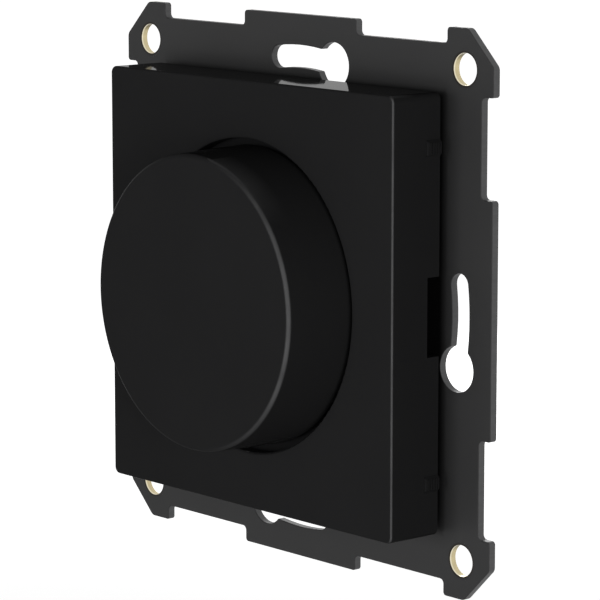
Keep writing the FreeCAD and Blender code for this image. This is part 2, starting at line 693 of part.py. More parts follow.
def switch_dome():
    """Thin snap dome that the stem pushes through."""
    sphere_r = (DOME_R ** 2 + DOME_HEIGHT ** 2) / (2 * DOME_HEIGHT)
    middle = PIT_FLOOR + DOME_HEIGHT - sphere_r
    cap = Part.makeSphere(sphere_r, point(0, 0, middle))
    hollow = Part.makeSphere(sphere_r - DOME_THICKNESS, point(0, 0, middle))
    keep = disc(DOME_R + NUDGE, PIT_FLOOR, PIT_FLOOR + DOME_HEIGHT + NUDGE)
    return cap.cut(hollow).common(keep)


# Cover

def cover():
    box = slab(COVER_HALF, COVER_HALF, COVER_CORNER_R, COVER_BACK, COVER_FACE)
    box = rounded(box, COVER_EDGE_R, lambda edge: lies_at(edge, COVER_FACE))
    room = slab(COVER_INNER_HALF, COVER_INNER_HALF, COVER_INNER_R, COVER_BACK, COVER_INSIDE)
    shell = box.cut(room).cut(disc(OPENING_R, COVER_INSIDE, COVER_FACE))
    shell = rounded(shell, OPENING_EDGE_R,
                    lambda edge: lies_at(edge, COVER_FACE) and round_edge(edge, OPENING_R))
    adds = []
    for side in range(4):
        for place in (-PAD_PLACE, PAD_PLACE):
            adds.append(turned(cover_hook(place), 90 * side))
        for place in (-COVER_RIB_PLACE, COVER_RIB_PLACE):
            adds.append(turned(cover_rib(place), 90 * side))
    for side in (0, 180):
        for place in (-PAD_PLACE, PAD_PLACE):
            adds.append(turned(snap_pad(place), side))
    shell = together([shell] + adds)
    pry = slab(COVER_WALL, PRY_HALF, 0, COVER_BACK, COVER_BACK + PRY_DEPTH, COVER_HALF, 0)
    return shell.cut([pry, turned(pry, 180)])


def cover_rib(place):
    """Stiffening rib inside the right-hand wall."""
    height = COVER_INSIDE - COVER_BACK - HOOK_HEIGHT
    return slab(COVER_RIB_REACH / 2, COVER_RIB / 2, 0, COVER_INSIDE - height, COVER_INSIDE,
                COVER_INNER_HALF - COVER_RIB_REACH / 2, place)


def snap_pad(place):
    """Low pad outside the right-hand wall, over a hook, with ramped ends."""
    points = [
        point(COVER_HALF, place - PAD_HALF, COVER_BACK),
        point(COVER_HALF + PAD_HEIGHT, place - PAD_HALF + PAD_RAMP, COVER_BACK),
        point(COVER_HALF + PAD_HEIGHT, place + PAD_HALF - PAD_RAMP, COVER_BACK),
        point(COVER_HALF, place + PAD_HALF, COVER_BACK),
    ]
    pad = Part.Face(Part.makePolygon(points + points[:1])).extrude(FORWARD * PAD_LENGTH)
    front_r = PAD_HEIGHT * 0.8
    front = COVER_BACK + PAD_LENGTH
    return rounded(pad, front_r, lambda edge: lies_at(edge, front)
                   and edge.BoundBox.XMin > COVER_HALF + PAD_HEIGHT / 2)


# Knob

def knob():
    slope = (KNOB_BASE_R - KNOB_FRONT_R) / (KNOB_FACE - KNOB_FOOT)
    inside_r = KNOB_FRONT_R - KNOB_WALL + slope * KNOB_FACE_WALL
    outer = revolved([(0, KNOB_FOOT), (KNOB_BASE_R, KNOB_FOOT), (KNOB_FRONT_R, KNOB_FACE), (0, KNOB_FACE)])
    outer = rounded(outer, KNOB_EDGE_R, lambda edge: round_edge(edge, KNOB_FRONT_R))
    inner = revolved([(0, KNOB_FOOT), (KNOB_BASE_R - KNOB_WALL, KNOB_FOOT), (inside_r, KNOB_INSIDE),
                      (0, KNOB_INSIDE)])
    rib_foot = KNOB_INSIDE - KNOB_RIB_DEPTH
    ring_rib = ring(KNOB_RING_R + KNOB_RIB / 2, KNOB_RING_R - KNOB_RIB / 2, rib_foot, KNOB_INSIDE)
    rib_length = inside_r + KNOB_WALL / 2
    rib = slab(rib_length / 2, KNOB_RIB / 2, 0, rib_foot, KNOB_INSIDE, rib_length / 2, 0)
    ribs = [turned(rib, 360 / KNOB_RIB_COUNT * number) for number in range(KNOB_RIB_COUNT)]
    boss = disc(BOSS_R, BOSS_FOOT, KNOB_INSIDE)
    cap = together([outer.cut(inner), boss, ring_rib] + ribs)
    bore_r = SHAFT_R + RUN_GAP / 2
    # the flat side of the bore leaves room for the leaf spring
    bore = disc(bore_r, BOSS_FOOT, KNOB_INSIDE - BORE_END_GAP / 2)
    flat_at = SHAFT_FLAT + LEAF_SPRING_THICKNESS + 2 * LEAF_SPRING_GAP
    web = slab(bore_r, bore_r, 0, WEB_FOOT, KNOB_INSIDE, 0, flat_at + bore_r)
    return cap.cut(bore.cut(web))


def leaf_spring():
    """Bent steel leaf between the shaft's flat and the knob's bore."""
    middle = SHAFT_FLAT + LEAF_SPRING_GAP + LEAF_SPRING_THICKNESS / 2
    top = SHAFT_TOP - LEAF_SPRING_END
    return slab(LEAF_SPRING_HALF, LEAF_SPRING_THICKNESS / 2, 0, WEB_FOOT, top, 0, middle)


def write(name, shape):
    """Stands a piece up against the wall and writes it."""
    standing = shape.copy()
    standing.rotate(CENTRE, point(1, 0, 0), 90)
    standing.exportStep("parts/" + name + ".step")


def main():
    os.makedirs("parts", exist_ok=True)
    write("support_frame", support_frame())
    corner_names = ("top_right", "top_left", "bottom_left", "bottom_right")
    for name, (x, y) in zip(corner_names, four_corners(CORNER_HOLE_AT)):
        write("eyelet_" + name, corner_eyelet(x, y))
    write("module_tray", module_tray())
    write("module_lid", module_lid())
    write("lid_screws", lid_screws())
    write("frame_screws", frame_screws())
    write("coin_cell", coin_cell())
    write("cell_clip_right", cell_clip())
    write("cell_clip_left", turned(cell_clip(), 180))
    write("cell_leaf", cell_leaf())
    write("circuit_board", circuit_board())
    write("radio_board", radio_board())
    write("radio_shield", radio_shield())
    write("main_chip", main_chip())
    write("crystal_can", crystal_can())
    write("ceramic_capacitors", ceramic_capacitors())
    write("encoder_housing", encoder_housing())
    write("encoder_bracket", encoder_bracket())
    write("encoder_shaft", encoder_shaft())
    write("encoder_rotor", encoder_rotor())
    write("detent_spring", detent_spring())
    write("switch_dome", switch_dome())
    write("cover", cover())
    write("knob", knob())
    write("leaf_spring", leaf_spring())


main()
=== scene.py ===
import math

import bmesh
import bpy
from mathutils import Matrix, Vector


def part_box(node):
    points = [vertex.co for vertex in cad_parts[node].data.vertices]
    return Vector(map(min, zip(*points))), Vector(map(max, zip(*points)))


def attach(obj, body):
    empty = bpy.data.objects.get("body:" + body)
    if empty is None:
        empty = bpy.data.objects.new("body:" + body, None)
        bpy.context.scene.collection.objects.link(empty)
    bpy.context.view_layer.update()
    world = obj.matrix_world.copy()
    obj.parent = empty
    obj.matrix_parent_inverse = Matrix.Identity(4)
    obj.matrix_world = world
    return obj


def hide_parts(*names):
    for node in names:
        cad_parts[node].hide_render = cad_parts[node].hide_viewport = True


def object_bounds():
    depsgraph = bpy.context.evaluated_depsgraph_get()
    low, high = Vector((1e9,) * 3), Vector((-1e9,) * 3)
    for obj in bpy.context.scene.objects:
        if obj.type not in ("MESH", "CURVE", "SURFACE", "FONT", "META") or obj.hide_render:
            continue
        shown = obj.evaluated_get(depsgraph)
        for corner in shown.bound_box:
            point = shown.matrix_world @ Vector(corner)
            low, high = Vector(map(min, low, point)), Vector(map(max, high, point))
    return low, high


bl_info = {
    "name": "Wireless rotary dimmer",
    "version": (1, 0, 0),
    "blender": (4, 5, 0),
    "location": "3D View > Sidebar > Dimmer",
    "description": "Dresses the packed model of a wireless rotary dimmer in its finishes and fine parts",
    "category": "Add Mesh",
}

# The packed model is the fixed frame. Everything is in metres, with the front
# facing -Y, +Z up, the wall at Y = 0 and the knob's axis along Y.
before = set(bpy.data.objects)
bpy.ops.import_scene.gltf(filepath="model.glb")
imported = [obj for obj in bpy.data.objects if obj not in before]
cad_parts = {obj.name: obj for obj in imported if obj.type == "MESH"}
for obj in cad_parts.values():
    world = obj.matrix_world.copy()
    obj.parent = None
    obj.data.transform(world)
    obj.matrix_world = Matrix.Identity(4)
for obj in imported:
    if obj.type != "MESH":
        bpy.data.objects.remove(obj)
CAD_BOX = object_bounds()
MM = 0.001
WHITE = (1.0, 1.0, 1.0, 1.0)
MERGE = 1e-7        # points closer than this are one


# Sizes and colours that a user may change

def kind_of(make, **limits):
    """A maker of properties of one kind, each from its name, its description and its default."""
    return lambda name, description, default: make(
        name=name, description=description, default=default, **limits)


length = kind_of(bpy.props.FloatProperty, unit="LENGTH", precision=5)
angle = kind_of(bpy.props.FloatProperty, subtype="ANGLE")
share = kind_of(bpy.props.FloatProperty, min=0.0, max=1.0, subtype="FACTOR")
watts = kind_of(bpy.props.FloatProperty, min=0.0, unit="POWER")
colour = kind_of(bpy.props.FloatVectorProperty, size=3, min=0.0, max=1.0, subtype="COLOR")
number = kind_of(bpy.props.IntProperty, min=1)


class DimmerStage(bpy.types.PropertyGroup):
    """Floor, lamps and camera."""
    floor_drop: length("Floor drop", "From the dimmer's lowest point down to the floor", 40 * MM)
    floor_reach: length("Floor reach", "Radius of the round floor", 6.0)
    floor_colour: colour("Floor colour", "Colour of the pale floor", (0.8, 0.8, 0.8))
    floor_lift: share("Floor lift", "White that the floor adds near the dimmer, to camera and gloss", 0.68)
    shadow_reach: length("Shadow reach", "Where the floor has turned plain white", 450 * MM)
    camera_place: bpy.props.FloatVectorProperty(
        name="Camera place", description="Where the camera stands", size=3, unit="LENGTH",
        default=(306.90 * MM, -268.41 * MM, 65.16 * MM))
    camera_heading: angle(
        "Camera heading", "How far round to the right of the front the camera stands", math.radians(48.92))
    camera_dip: angle("Camera dip", "How far down the camera looks", math.radians(9.30))
    lens: bpy.props.FloatProperty(
        name="Lens", description="Focal length, on a sensor 36 mm wide", default=191.69, unit="CAMERA")
    lamp_reach: length("Lamp reach", "From the dimmer to each lamp", 400 * MM)
    lamp_size: length("Lamp size", "Side of each square soft lamp", 140 * MM)
    key_power: watts("Key lamp", "Power of the soft lamp beside the camera", 0.75)
    front_power: watts("Front lamp", "Power of the soft lamp in front", 0.92)
    back_power: watts("Back lamp", "Power of the soft lamp behind", 0.45)
    room_light: share("Room light", "Even light from all round, as a share of full white", 0.12)


class DimmerMoulding(bpy.types.PropertyGroup):
    """Black plastic of the cover and the knob."""
    body: colour("Colour", "Colour of the plastic", (0.0134, 0.0134, 0.0137))
    # The edge colour below is a painted highlight on the cover's and the knob's front edges.
    edge_highlight: colour("Edge highlight", "Colour of the painted edge highlight", (0.07, 0.07, 0.071))
    roughness: share("Roughness", "How matt the plastic is", 0.06)
    gloss_level: share("Gloss level", "How much the plastic reflects when it is seen straight on", 0.001)
    grain_size: length("Grain size", "Width of a grain of the tool's texture", 0.16 * MM)
    grain_depth: length("Grain depth", "Depth of the tool's texture", 0.0008 * MM)
    top_polish: share("Top polish", "Extra gloss of the cover's top", 0.16)


class DimmerPadRibs(bpy.types.PropertyGroup):
    """Low upright ribs on the four pads at the cover's sides."""
    count: number("Count", "Ribs on one pad", 5)
    place: length("Place", "From the dimmer's axis up or down to the middle of a pad", 20.8 * MM)
    start: length("Start", "From the cover's back edge to the first rib", 0.25 * MM)
    pitch: length("Pitch", "From one rib to the next", 0.42 * MM)
    width: length("Width", "Width of a rib", 0.18 * MM)
    height: length("Height", "How far a rib stands out", 0.12 * MM)
    long: length("Length", "Length of a rib", 1.4 * MM)


class DimmerHousing(bpy.types.PropertyGroup):
    """Plastic of the tray and its lid."""
    # The colour below is darker than black plastic is, so that the tray and lid seen through the gaps also
    # stand in for the shade there: part own colour, part painted shade.
    body: colour("Colour", "Colour of the plastic", (0.006, 0.006, 0.0063))
    # The edge colour below is a painted highlight on the front edges of the tray and lid.
    edge_highlight: colour("Edge highlight", "Colour of the painted edge highlight", (0.01, 0.01, 0.0105))
    roughness: share("Roughness", "How matt the plastic is", 0.5)
    gloss_level: share("Gloss level", "How much the plastic reflects when it is seen straight on", 0.03)
    grain_size: length("Grain size", "Width of a grain of the tool's texture", 0.22 * MM)
    grain_depth: length("Grain depth", "Depth of the tool's texture", 0.004 * MM)


class DimmerPlate(bpy.types.PropertyGroup):
    """Painted sheet steel of the support frame."""
    paint: colour("Paint", "Colour of the paint", (0.024, 0.024, 0.0243))
    cut_metal: colour("Cut edge", "Colour that shows through the paint on cut edges", (0.08, 0.08, 0.081))
    # The colour and three lengths below paint shade on the plate in the gap behind the cover.
    gap_shade: colour("Gap shade", "Colour of the grime in the gap behind the cover", (0.002, 0.002, 0.002))
    grime_start: length("Grime start", "From the cover's side in to where the grime starts", 0.1 * MM)
    shade_full: length("Shade full", "From the cover's side in to where the grime is full", 1.2 * MM)
    shade_rise: length("Shade rise", "How much further it reaches above and below the cover", 0.6 * MM)
    roughness: share("Roughness", "How matt the paint is", 0.45)
    gloss_level: share("Gloss level", "How much the paint reflects when it is seen straight on", 0.1)
    grain_size: length("Grain size", "Width of a grain in the paint", 0.3 * MM)
    grain_depth: length("Grain depth", "Height of a grain in the paint", 0.003 * MM)


class DimmerHoleLiners(bpy.types.PropertyGroup):
    """Brass that lines the four corner holes."""
    brass: colour("Brass", "Colour of the bare bore", (0.56, 0.48, 0.29))
    # The rim colour below is a painted highlight along the bore's front rim.
    rim: colour("Rim", "Colour of the painted highlight on the front rim", (0.8, 0.74, 0.56))
    # The colour below is painted shade where the bore's wall faces down.
    bore_shade: colour("Bore shade", "Colour of the painted shade at the top of the bore", (0.15, 0.12, 0.05))
    # The colour and width below paint a dark ring of shade round the front mouth.
    mouth_shade: colour("Mouth shade", "Colour of the stain round the front mouth", (0.008, 0.006, 0.004))
    rim_highlight_depth: length("Rim highlight depth", "How far the painted rim highlight reaches into the bore", 0.3 * MM)
    mouth_shade_width: length("Mouth shade width", "Width of the stain round the front mouth", 0.34 * MM)
    wall: length("Wall", "Thickness of the lining", 0.41 * MM)
    roughness: share("Roughness", "How matt the bore is", 0.3)
    mouth_round: length("Mouth round", "Rounding of the bore's two mouths", 0.06 * MM)
    ring_size: length("Ring size", "Distance between the tool's rings in the bore", 0.12 * MM)
    ring_depth: length("Ring depth", "Depth of the tool's rings in the bore", 0.002 * MM)


class DimmerKnob(bpy.types.PropertyGroup):
    """Turned knob with ribs inside."""
    front_radius: length("Front radius", "Radius of the knob's face, before its edge is rounded", 18.8 * MM)
    edge_round: length("Edge round", "Rounding round the face", 0.65 * MM)
    wall: length("Wall", "Thickness of the skirt", 1.5 * MM)
    face_wall: length("Face wall", "Thickness of the face", 1.6 * MM)
    boss_radius: length("Boss radius", "Radius of the boss that holds the shaft", 5.0 * MM)
    boss_depth: length("Boss depth", "From the face to the boss's foot", 6.25 * MM)
    bore_radius: length("Bore radius", "Radius of the bore in the boss", 3.025 * MM)
    bore_end: length("Bore end", "From the face to the end of the bore", 1.75 * MM)
    flat: length("Flat", "From the axis to the flat side of the bore", 1.86 * MM)
    flat_depth: length("Flat depth", "Length of the flat side along the bore", 3.7 * MM)
    flat_root: length("Flat root", "From the axis to where the flat's solid ends in the boss", 3.3 * MM)
    ring_radius: length("Ring radius", "Radius of the round rib", 12.0 * MM)
    rib_width: length("Rib width", "Thickness of a rib", 0.9 * MM)
    rib_depth: length("Rib depth", "How far a rib stands out behind the face", 3.9 * MM)
    rib_count: number("Ribs", "Number of straight ribs", 8)


class DimmerScrews(bpy.types.PropertyGroup):
    """Pan-head screws in the lid and in the frame."""
    steel: colour("Steel", "Colour of the zinc-plated screws", (0.58, 0.59, 0.6))
    lid_head: length("Lid head", "Radius of a lid screw's head", 1.75 * MM)
    lid_head_height: length("Lid head height", "Height of a lid screw's head", 1.2 * MM)
    lid_shank: length("Lid shank", "Radius of a lid screw's thread", 0.8 * MM)
    frame_head: length("Frame head", "Radius of a frame screw's head", 1.9 * MM)
    frame_head_height: length("Frame head height", "Height of a frame screw's head", 1.1 * MM)
    frame_shank: length("Frame shank", "Radius of a frame screw's thread", 1.0 * MM)
    thread_pitch: length("Thread pitch", "From one turn of a thread to the next", 0.5 * MM)
    thread_depth: length("Thread depth", "From a thread's crest to its root", 0.16 * MM)
    head_dome: length("Head dome", "Rounding round the top of a head", 0.5 * MM)
    drive_width: length("Drive width", "Width of one slot of the cross in a head", 0.4 * MM)
    drive_reach: length("Drive reach", "From the middle of a head to the end of a slot", 0.95 * MM)
    drive_depth: length("Drive depth", "Depth of the cross in a head", 0.6 * MM)
    seed: number("Seed", "How each screw happens to be turned", 7)


class DimmerCell(bpy.types.PropertyGroup):
    """Coin cell and its contacts."""
    can: colour("Can", "Colour of the cell's steel can", (0.5, 0.5, 0.485))
    contact: colour("Contacts", "Colour of the plated spring contacts", (0.66, 0.62, 0.52))
    edge_round: length("Edge round", "Rounding of the can's back edge", 0.35 * MM)
    cap_step: length("Cap step", "How far the cap stands proud of the rolled rim", 0.25 * MM)
    cap_radius: length("Cap radius", "Radius of the cap", 8.5 * MM)
    rim_width: length("Rim width", "Width of the rolled rim", 0.65 * MM)
    sign_reach: length("Sign reach", "From the middle of the plus sign to the end of an arm", 1.4 * MM)
    sign_width: length("Sign width", "Width of an arm of the plus sign", 0.6 * MM)
    sign_depth: length("Sign depth", "How deep the plus sign is stamped", 0.15 * MM)
    sign_height: length("Sign height", "From the middle of the cell up to the plus sign", 5.2 * MM)


class DimmerBoard(bpy.types.PropertyGroup):
    """Circuit board and the parts soldered to it."""
    mask: colour("Solder mask", "Colour of the board's solder mask", (0.006, 0.05, 0.018))
    track: colour("Tracks", "Colour of the mask over the copper tracks", (0.018, 0.11, 0.035))
    solder: colour("Solder", "Colour of the solder", (0.7, 0.7, 0.71))
    resin: colour("Resin", "Colour of the chip's and the encoder's resin", (0.012, 0.012, 0.013))
    ceramic: colour("Ceramic", "Colour of the capacitors' bodies", (0.33, 0.2, 0.11))
    ceramic_reach: length("Ceramic reach", "From a capacitor's middle to its tinned ends", 0.65 * MM)
    joint_size: length("Joint size", "Radius of a solder joint", 0.28 * MM)
    joint_height: length("Joint height", "Height of a solder joint", 0.22 * MM)
    radio_pitch: length("Radio pitch", "From one joint to the next along the radio board's sides", 1.27 * MM)
    radio_joints: number("Radio joints", "Joints on one side of the radio board", 12)
    chip_pitch: length("Chip pitch", "From one joint to the next along the chip's sides", 0.65 * MM)
    chip_joints: number("Chip joints", "Joints on one side of the chip", 8)
    pin_pitch: length("Pin pitch", "From one of the encoder's pins to the next", 2.5 * MM)
    pin_reach: length("Pin reach", "From the encoder's housing out to its pins", 0.5 * MM)


class DimmerEncoder(bpy.types.PropertyGroup):
    """Moving parts of the encoder."""
    aluminium: colour("Aluminium", "Colour of the shaft", (0.78, 0.78, 0.79))
    wheel: colour("Wheel", "Colour of the moulded wheel", (0.62, 0.61, 0.57))


# Nodes and the wires between them

def opaque(rgb, factor=1.0):
    return (rgb[0] * factor, rgb[1] * factor, rgb[2] * factor, 1.0)


class Node:
    """A node in a tree. An output is read by its name or number, as in node["Value"]."""

    def __init__(self, tree, node):
        self.tree = tree
        self.node = node

    def __getitem__(self, name):
        return Wire(self.tree, self.node.outputs[name])

    def feed(self, inputs):
        """Gives each input a plain value, or the wire that leads to it."""
        for name, value in inputs.items():
            if isinstance(value, Wire):
                self.tree.links.new(value.socket, self.node.inputs[name])
            else:
                self.node.inputs[name].default_value = value


def add_node(tree, kind, inputs=None, **settings):
    made = tree.nodes.new(kind)
    for name, value in settings.items():
        setattr(made, name, value)
    node = Node(tree, made)
    node.feed(inputs or {})
    return node


class Wire:
    """What comes out of a node. Arithmetic on wires adds math nodes to their tree."""

    def __init__(self, tree, socket):
        self.tree = tree
        self.socket = socket

    def math(self, operation, other=0.0):
        return add_node(self.tree, "ShaderNodeMath", {0: self, 1: other}, operation=operation)["Value"]

    def __add__(self, other):
        return self.math("ADD", other)

    def __sub__(self, other):
        return self.math("SUBTRACT", other)

    def __rsub__(self, other):
        return add_node(self.tree, "ShaderNodeMath", {0: other, 1: self}, operation="SUBTRACT")["Value"]

    def __mul__(self, other):
        return self.math("MULTIPLY", other)

    def __truediv__(self, other):
        return self.math("DIVIDE", other)

    def __abs__(self):
        return self.math("ABSOLUTE")

    def or_more(self, other):
        """The larger of two numbers."""
        return self.math("MAXIMUM", other)

    def above(self, limit):
        """1 where the number is over the limit, and 0 elsewhere."""
        return self.math("GREATER_THAN", limit)

    def below(self, limit):
        """1 where the number is under the limit, and 0 elsewhere."""
        return self.math("LESS_THAN", limit)

    def between(self, low, high, start=0.0, end=1.0):
        """A number that goes from low to high while this one goes from start to end."""
        inputs = {"Value": self, "From Min": start, "From Max": end, "To Min": low, "To Max": high}
        return add_node(self.tree, "ShaderNodeMapRange", inputs)["Result"]

    def about(self, middle, spread):
        """A number that goes from a spread below a middle to a spread above it."""
        return self.between(middle - spread, middle + spread)

    def blend(self, first, second):
        """The first colour where this number is 0, and the second where it is 1."""
        inputs = {"Factor": self}
        for index, value in ((6, first), (7, second)):
            inputs[index] = value if isinstance(value, Wire) else opaque(value)
        return add_node(self.tree, "ShaderNodeMix", inputs, data_type="RGBA")[2]

    def shade(self, rgb, low, high):
        """The colour, made low times as bright where this number is 0, and high times where it is 1."""
        return self.blend(opaque(rgb, low), opaque(rgb, high))

    def split(self):
        """The vector's three parts."""
        parts = add_node(self.tree, "ShaderNodeSeparateXYZ", {"Vector": self})
        return parts["X"], parts["Y"], parts["Z"]

    def reach(self):
        """The vector's length."""
        return add_node(self.tree, "ShaderNodeVectorMath", {0: self}, operation="LENGTH")["Value"]


def vector_of(tree, x=0.0, y=0.0, z=0.0):
    return add_node(tree, "ShaderNodeCombineXYZ", {"X": x, "Y": y, "Z": z})["Vector"]


def noise(place, scale, detail, roughness=0.5):
    inputs = {"Vector": place, "Scale": scale, "Detail": detail, "Roughness": roughness}
    return add_node(place.tree, "ShaderNodeTexNoise", inputs)["Fac"]


def new_group(name, kind, inputs, outputs):
    """A node group. Its inputs and outputs are names with their kinds of socket."""
    tree = bpy.data.node_groups.new(name, kind + "NodeTree")
    for in_out, sockets in (("INPUT", inputs), ("OUTPUT", outputs)):
        for label, socket in sockets.items():
            tree.interface.new_socket(name=label, in_out=in_out, socket_type="NodeSocket" + socket)
    return add_node(tree, "NodeGroupInput"), add_node(tree, "NodeGroupOutput")


def floats(*names):
    return dict.fromkeys(names, "Float")


# Effects that several finishes share, each a group of shader nodes

PLACE = {"Place": "Vector"}
FACING = {"Facing": "Vector"}
HIGHLIGHT_DEPTH = 1 * MM         # from the front face back, over which the painted edge highlight reaches
RIDGE_DEPTH = 4 * MM        # over which the painted highlight along an upper edge fades


def moulded_grain():
    """Fine grain of a spark-eroded mould, and the slow drift in gloss that a moulding has."""
    given, result = new_group(
        "Moulded grain", "Shader", {**PLACE, **floats("Grains per metre")}, floats("Height", "Drift"))
    place, scale = given["Place"], given["Grains per metre"]
    pits = add_node(given.tree, "ShaderNodeTexVoronoi", {"Vector": place, "Scale": scale})
    fine = noise(place, scale, detail=3.0, roughness=0.6)
    result.feed({"Height": fine + pits["Distance"], "Drift": noise(place, scale=70.0, detail=2.0)})


def cut_edge():
    """Where a sheet was cut, its walls stand square to its faces and carry the shear's fine streaks."""
    given, result = new_group("Cut edge", "Shader", {**PLACE, **FACING}, floats("Mask", "Streaks"))
    flatness = abs(given["Facing"].split()[1])
    drawn = add_node(given.tree, "ShaderNodeMapping", {"Vector": given["Place"], "Scale": (1.0, 0.12, 1.0)})
    result.feed({
        "Mask": flatness.between(0.0, 1.0, start=0.6, end=0.25),
        "Streaks": noise(drawn["Vector"], scale=4200.0, detail=3.0)})


def paint_edge_highlights():
    """Painted highlight on a moulding's outer front edges, a little uneven, strongest at its left and right.
    A narrower painted highlight runs along the upper edges on the right and fades towards the back."""
    given, result = new_group("Edge wear", "Shader", {**PLACE, **FACING, **floats("Front")}, floats("Mask"))
    across, ahead, up = given["Facing"].split()
    x, y, _ = given["Place"].split()
    behind = y - given["Front"]
    front = ahead * ahead
    side = 1.0 - front
    corner = (front * side).between(0.0, 1.0, start=0.04, end=0.2)
    left_right_share = across * across / side
    outer = (across * x).above(0.0)
    patches = noise(given["Place"], scale=260.0, detail=3.0).between(0.75, 1.0, start=0.35, end=0.6)
    # Painted highlight along the front edges, uneven, strongest at the left and right.
    edge_highlight = corner * patches * left_right_share * outer * behind.below(HIGHLIGHT_DEPTH)
    ridge = up.between(0.0, 1.0, start=0.6, end=0.85) * up.below(0.98) * across.above(0.15)
    # Painted highlight along the upper edges on the right, fading towards the back.
    ridge_highlight = ridge * behind.between(0.45, 0.0, start=0.0, end=RIDGE_DEPTH)
    result.feed({"Mask": edge_highlight.or_more(ridge_highlight)})


def turned_rings():
    """The fine rings that a lathe or a press tool leaves round an axis along Y."""
    given, result = new_group(
        "Turned rings", "Shader", {**PLACE, **floats("Rings per metre")}, floats("Height", "Bands"))
    x, y, z = given["Place"].split()
    turns = (vector_of(given.tree, x, 0.0, z).reach() + y) * given["Rings per metre"]
    for output, scale, detail in (("Height", 1.0, 2.0), ("Bands", 0.15, 1.0)):
        rings = add_node(given.tree, "ShaderNodeTexNoise", {"W": turns, "Scale": scale, "Detail": detail},
                         noise_dimensions="1D")
        result.feed({output: rings["Fac"]})


def copper_tracks():
    """Tracks and round pads under a board's solder mask, on a square grid."""
    given, result = new_group(
        "Copper tracks", "Shader", {**PLACE, **floats("Cells per metre")}, floats("Track", "Pad"))
    grid = {"Vector": given["Place"], "Scale": given["Cells per metre"]}
    bricks = add_node(given.tree, "ShaderNodeTexBrick", {
        **grid, "Mortar Size": 0.09, "Mortar Smooth": 0.1, "Brick Width": 1.7, "Row Height": 0.6},
        offset=0.37, squash=0.6, squash_frequency=3)
    pads = add_node(given.tree, "ShaderNodeTexVoronoi", {**grid, "Randomness": 0.75})
    result.feed({"Track": bricks["Fac"], "Pad": pads["Distance"].between(1.0, 0.0, start=0.14, end=0.18)})


# Finishes

def new_finish(name, constants):
    """A material. Returns it with its shader and the object's coordinates."""
    material = bpy.data.materials.new(name)
    material.use_nodes = True
    tree = material.node_tree
    shader = Node(tree, tree.nodes["Principled BSDF"])
    shader.feed(constants)
    return material, shader, add_node(tree, "ShaderNodeTexCoord")


def effect(at, name, inputs=None):
    """Places a shared effect in a material, on the object's own coordinates unless others are given."""
    return add_node(at.tree, "ShaderNodeGroup", {"Place": at["Object"], **(inputs or {})},
                    node_tree=bpy.data.node_groups[name])


def grain_of(at, size):
    return effect(at, "Moulded grain", {"Grains per metre": 1 / size})


def rings_of(at, size):
    return effect(at, "Turned rings", {"Rings per metre": 1 / size})


def relief(height, depth):
    """Normals of a surface that is raised by a height times a depth."""
    inputs = {"Height": height, "Distance": depth, "Strength": 1.0}
    return add_node(height.tree, "ShaderNodeBump", inputs)["Normal"]


def moulded_plastic(name, settings, front, polish=0.0):
    """Black plastic with a fine grain, a painted highlight at its front edges and extra gloss where it looks
    up.
    """
    material, shader, at = new_finish(name, {"Specular IOR Level": settings.gloss_level})
    grain = grain_of(at, settings.grain_size)
    highlights = effect(at, "Edge wear", {"Facing": at["Normal"], "Front": front})
    body = grain["Drift"].shade(settings.body, 0.92, 1.08)
    shader.feed({
        # The front edges get a painted highlight.
        "Base Color": highlights["Mask"].blend(body, settings.edge_highlight),
        "Roughness": grain["Drift"].about(settings.roughness, spread=0.03),
        "Normal": relief(grain["Height"], settings.grain_depth)})
    if polish:
        shader.feed({"Coat Weight": at["Normal"].split()[2].between(0.0, polish, start=0.99, end=0.999)})
    return material


def painted_gap_shade(settings, at, cover_half):
    """How much painted shade lies on the plate's front, in the gap behind the cover."""
    x, _, z = at["Object"].split()
    reach = abs(x).or_more(abs(z) - settings.shade_rise)
    amount = reach.between(1.0, 0.0, cover_half - settings.shade_full, cover_half - settings.grime_start)
    return amount * at["Normal"].split()[1].below(-0.5)


def painted_plate(name, settings, cover_half):
    """Paint with a faint orange peel, thin on the punched walls so that the metal shows there, and painted
    shade in the gap behind the cover.
    """
    material, shader, at = new_finish(name, {"Specular IOR Level": settings.gloss_level})
    grain = grain_of(at, settings.grain_size)
    edge = effect(at, "Cut edge", {"Facing": at["Normal"]})
    paint = grain["Drift"].shade(settings.paint, 0.9, 1.1)
    # Painted shade in the gap behind the cover.
    paint = painted_gap_shade(settings, at, cover_half).blend(paint, settings.gap_shade)
    shader.feed({
        "Base Color": edge["Mask"].blend(paint, edge["Streaks"].shade(settings.cut_metal, 0.8, 1.2)),
        "Metallic": edge["Mask"],
        "Roughness": edge["Mask"].between(settings.roughness, settings.roughness + 0.05),
        "Normal": relief(grain["Height"], settings.grain_depth)})
    return material


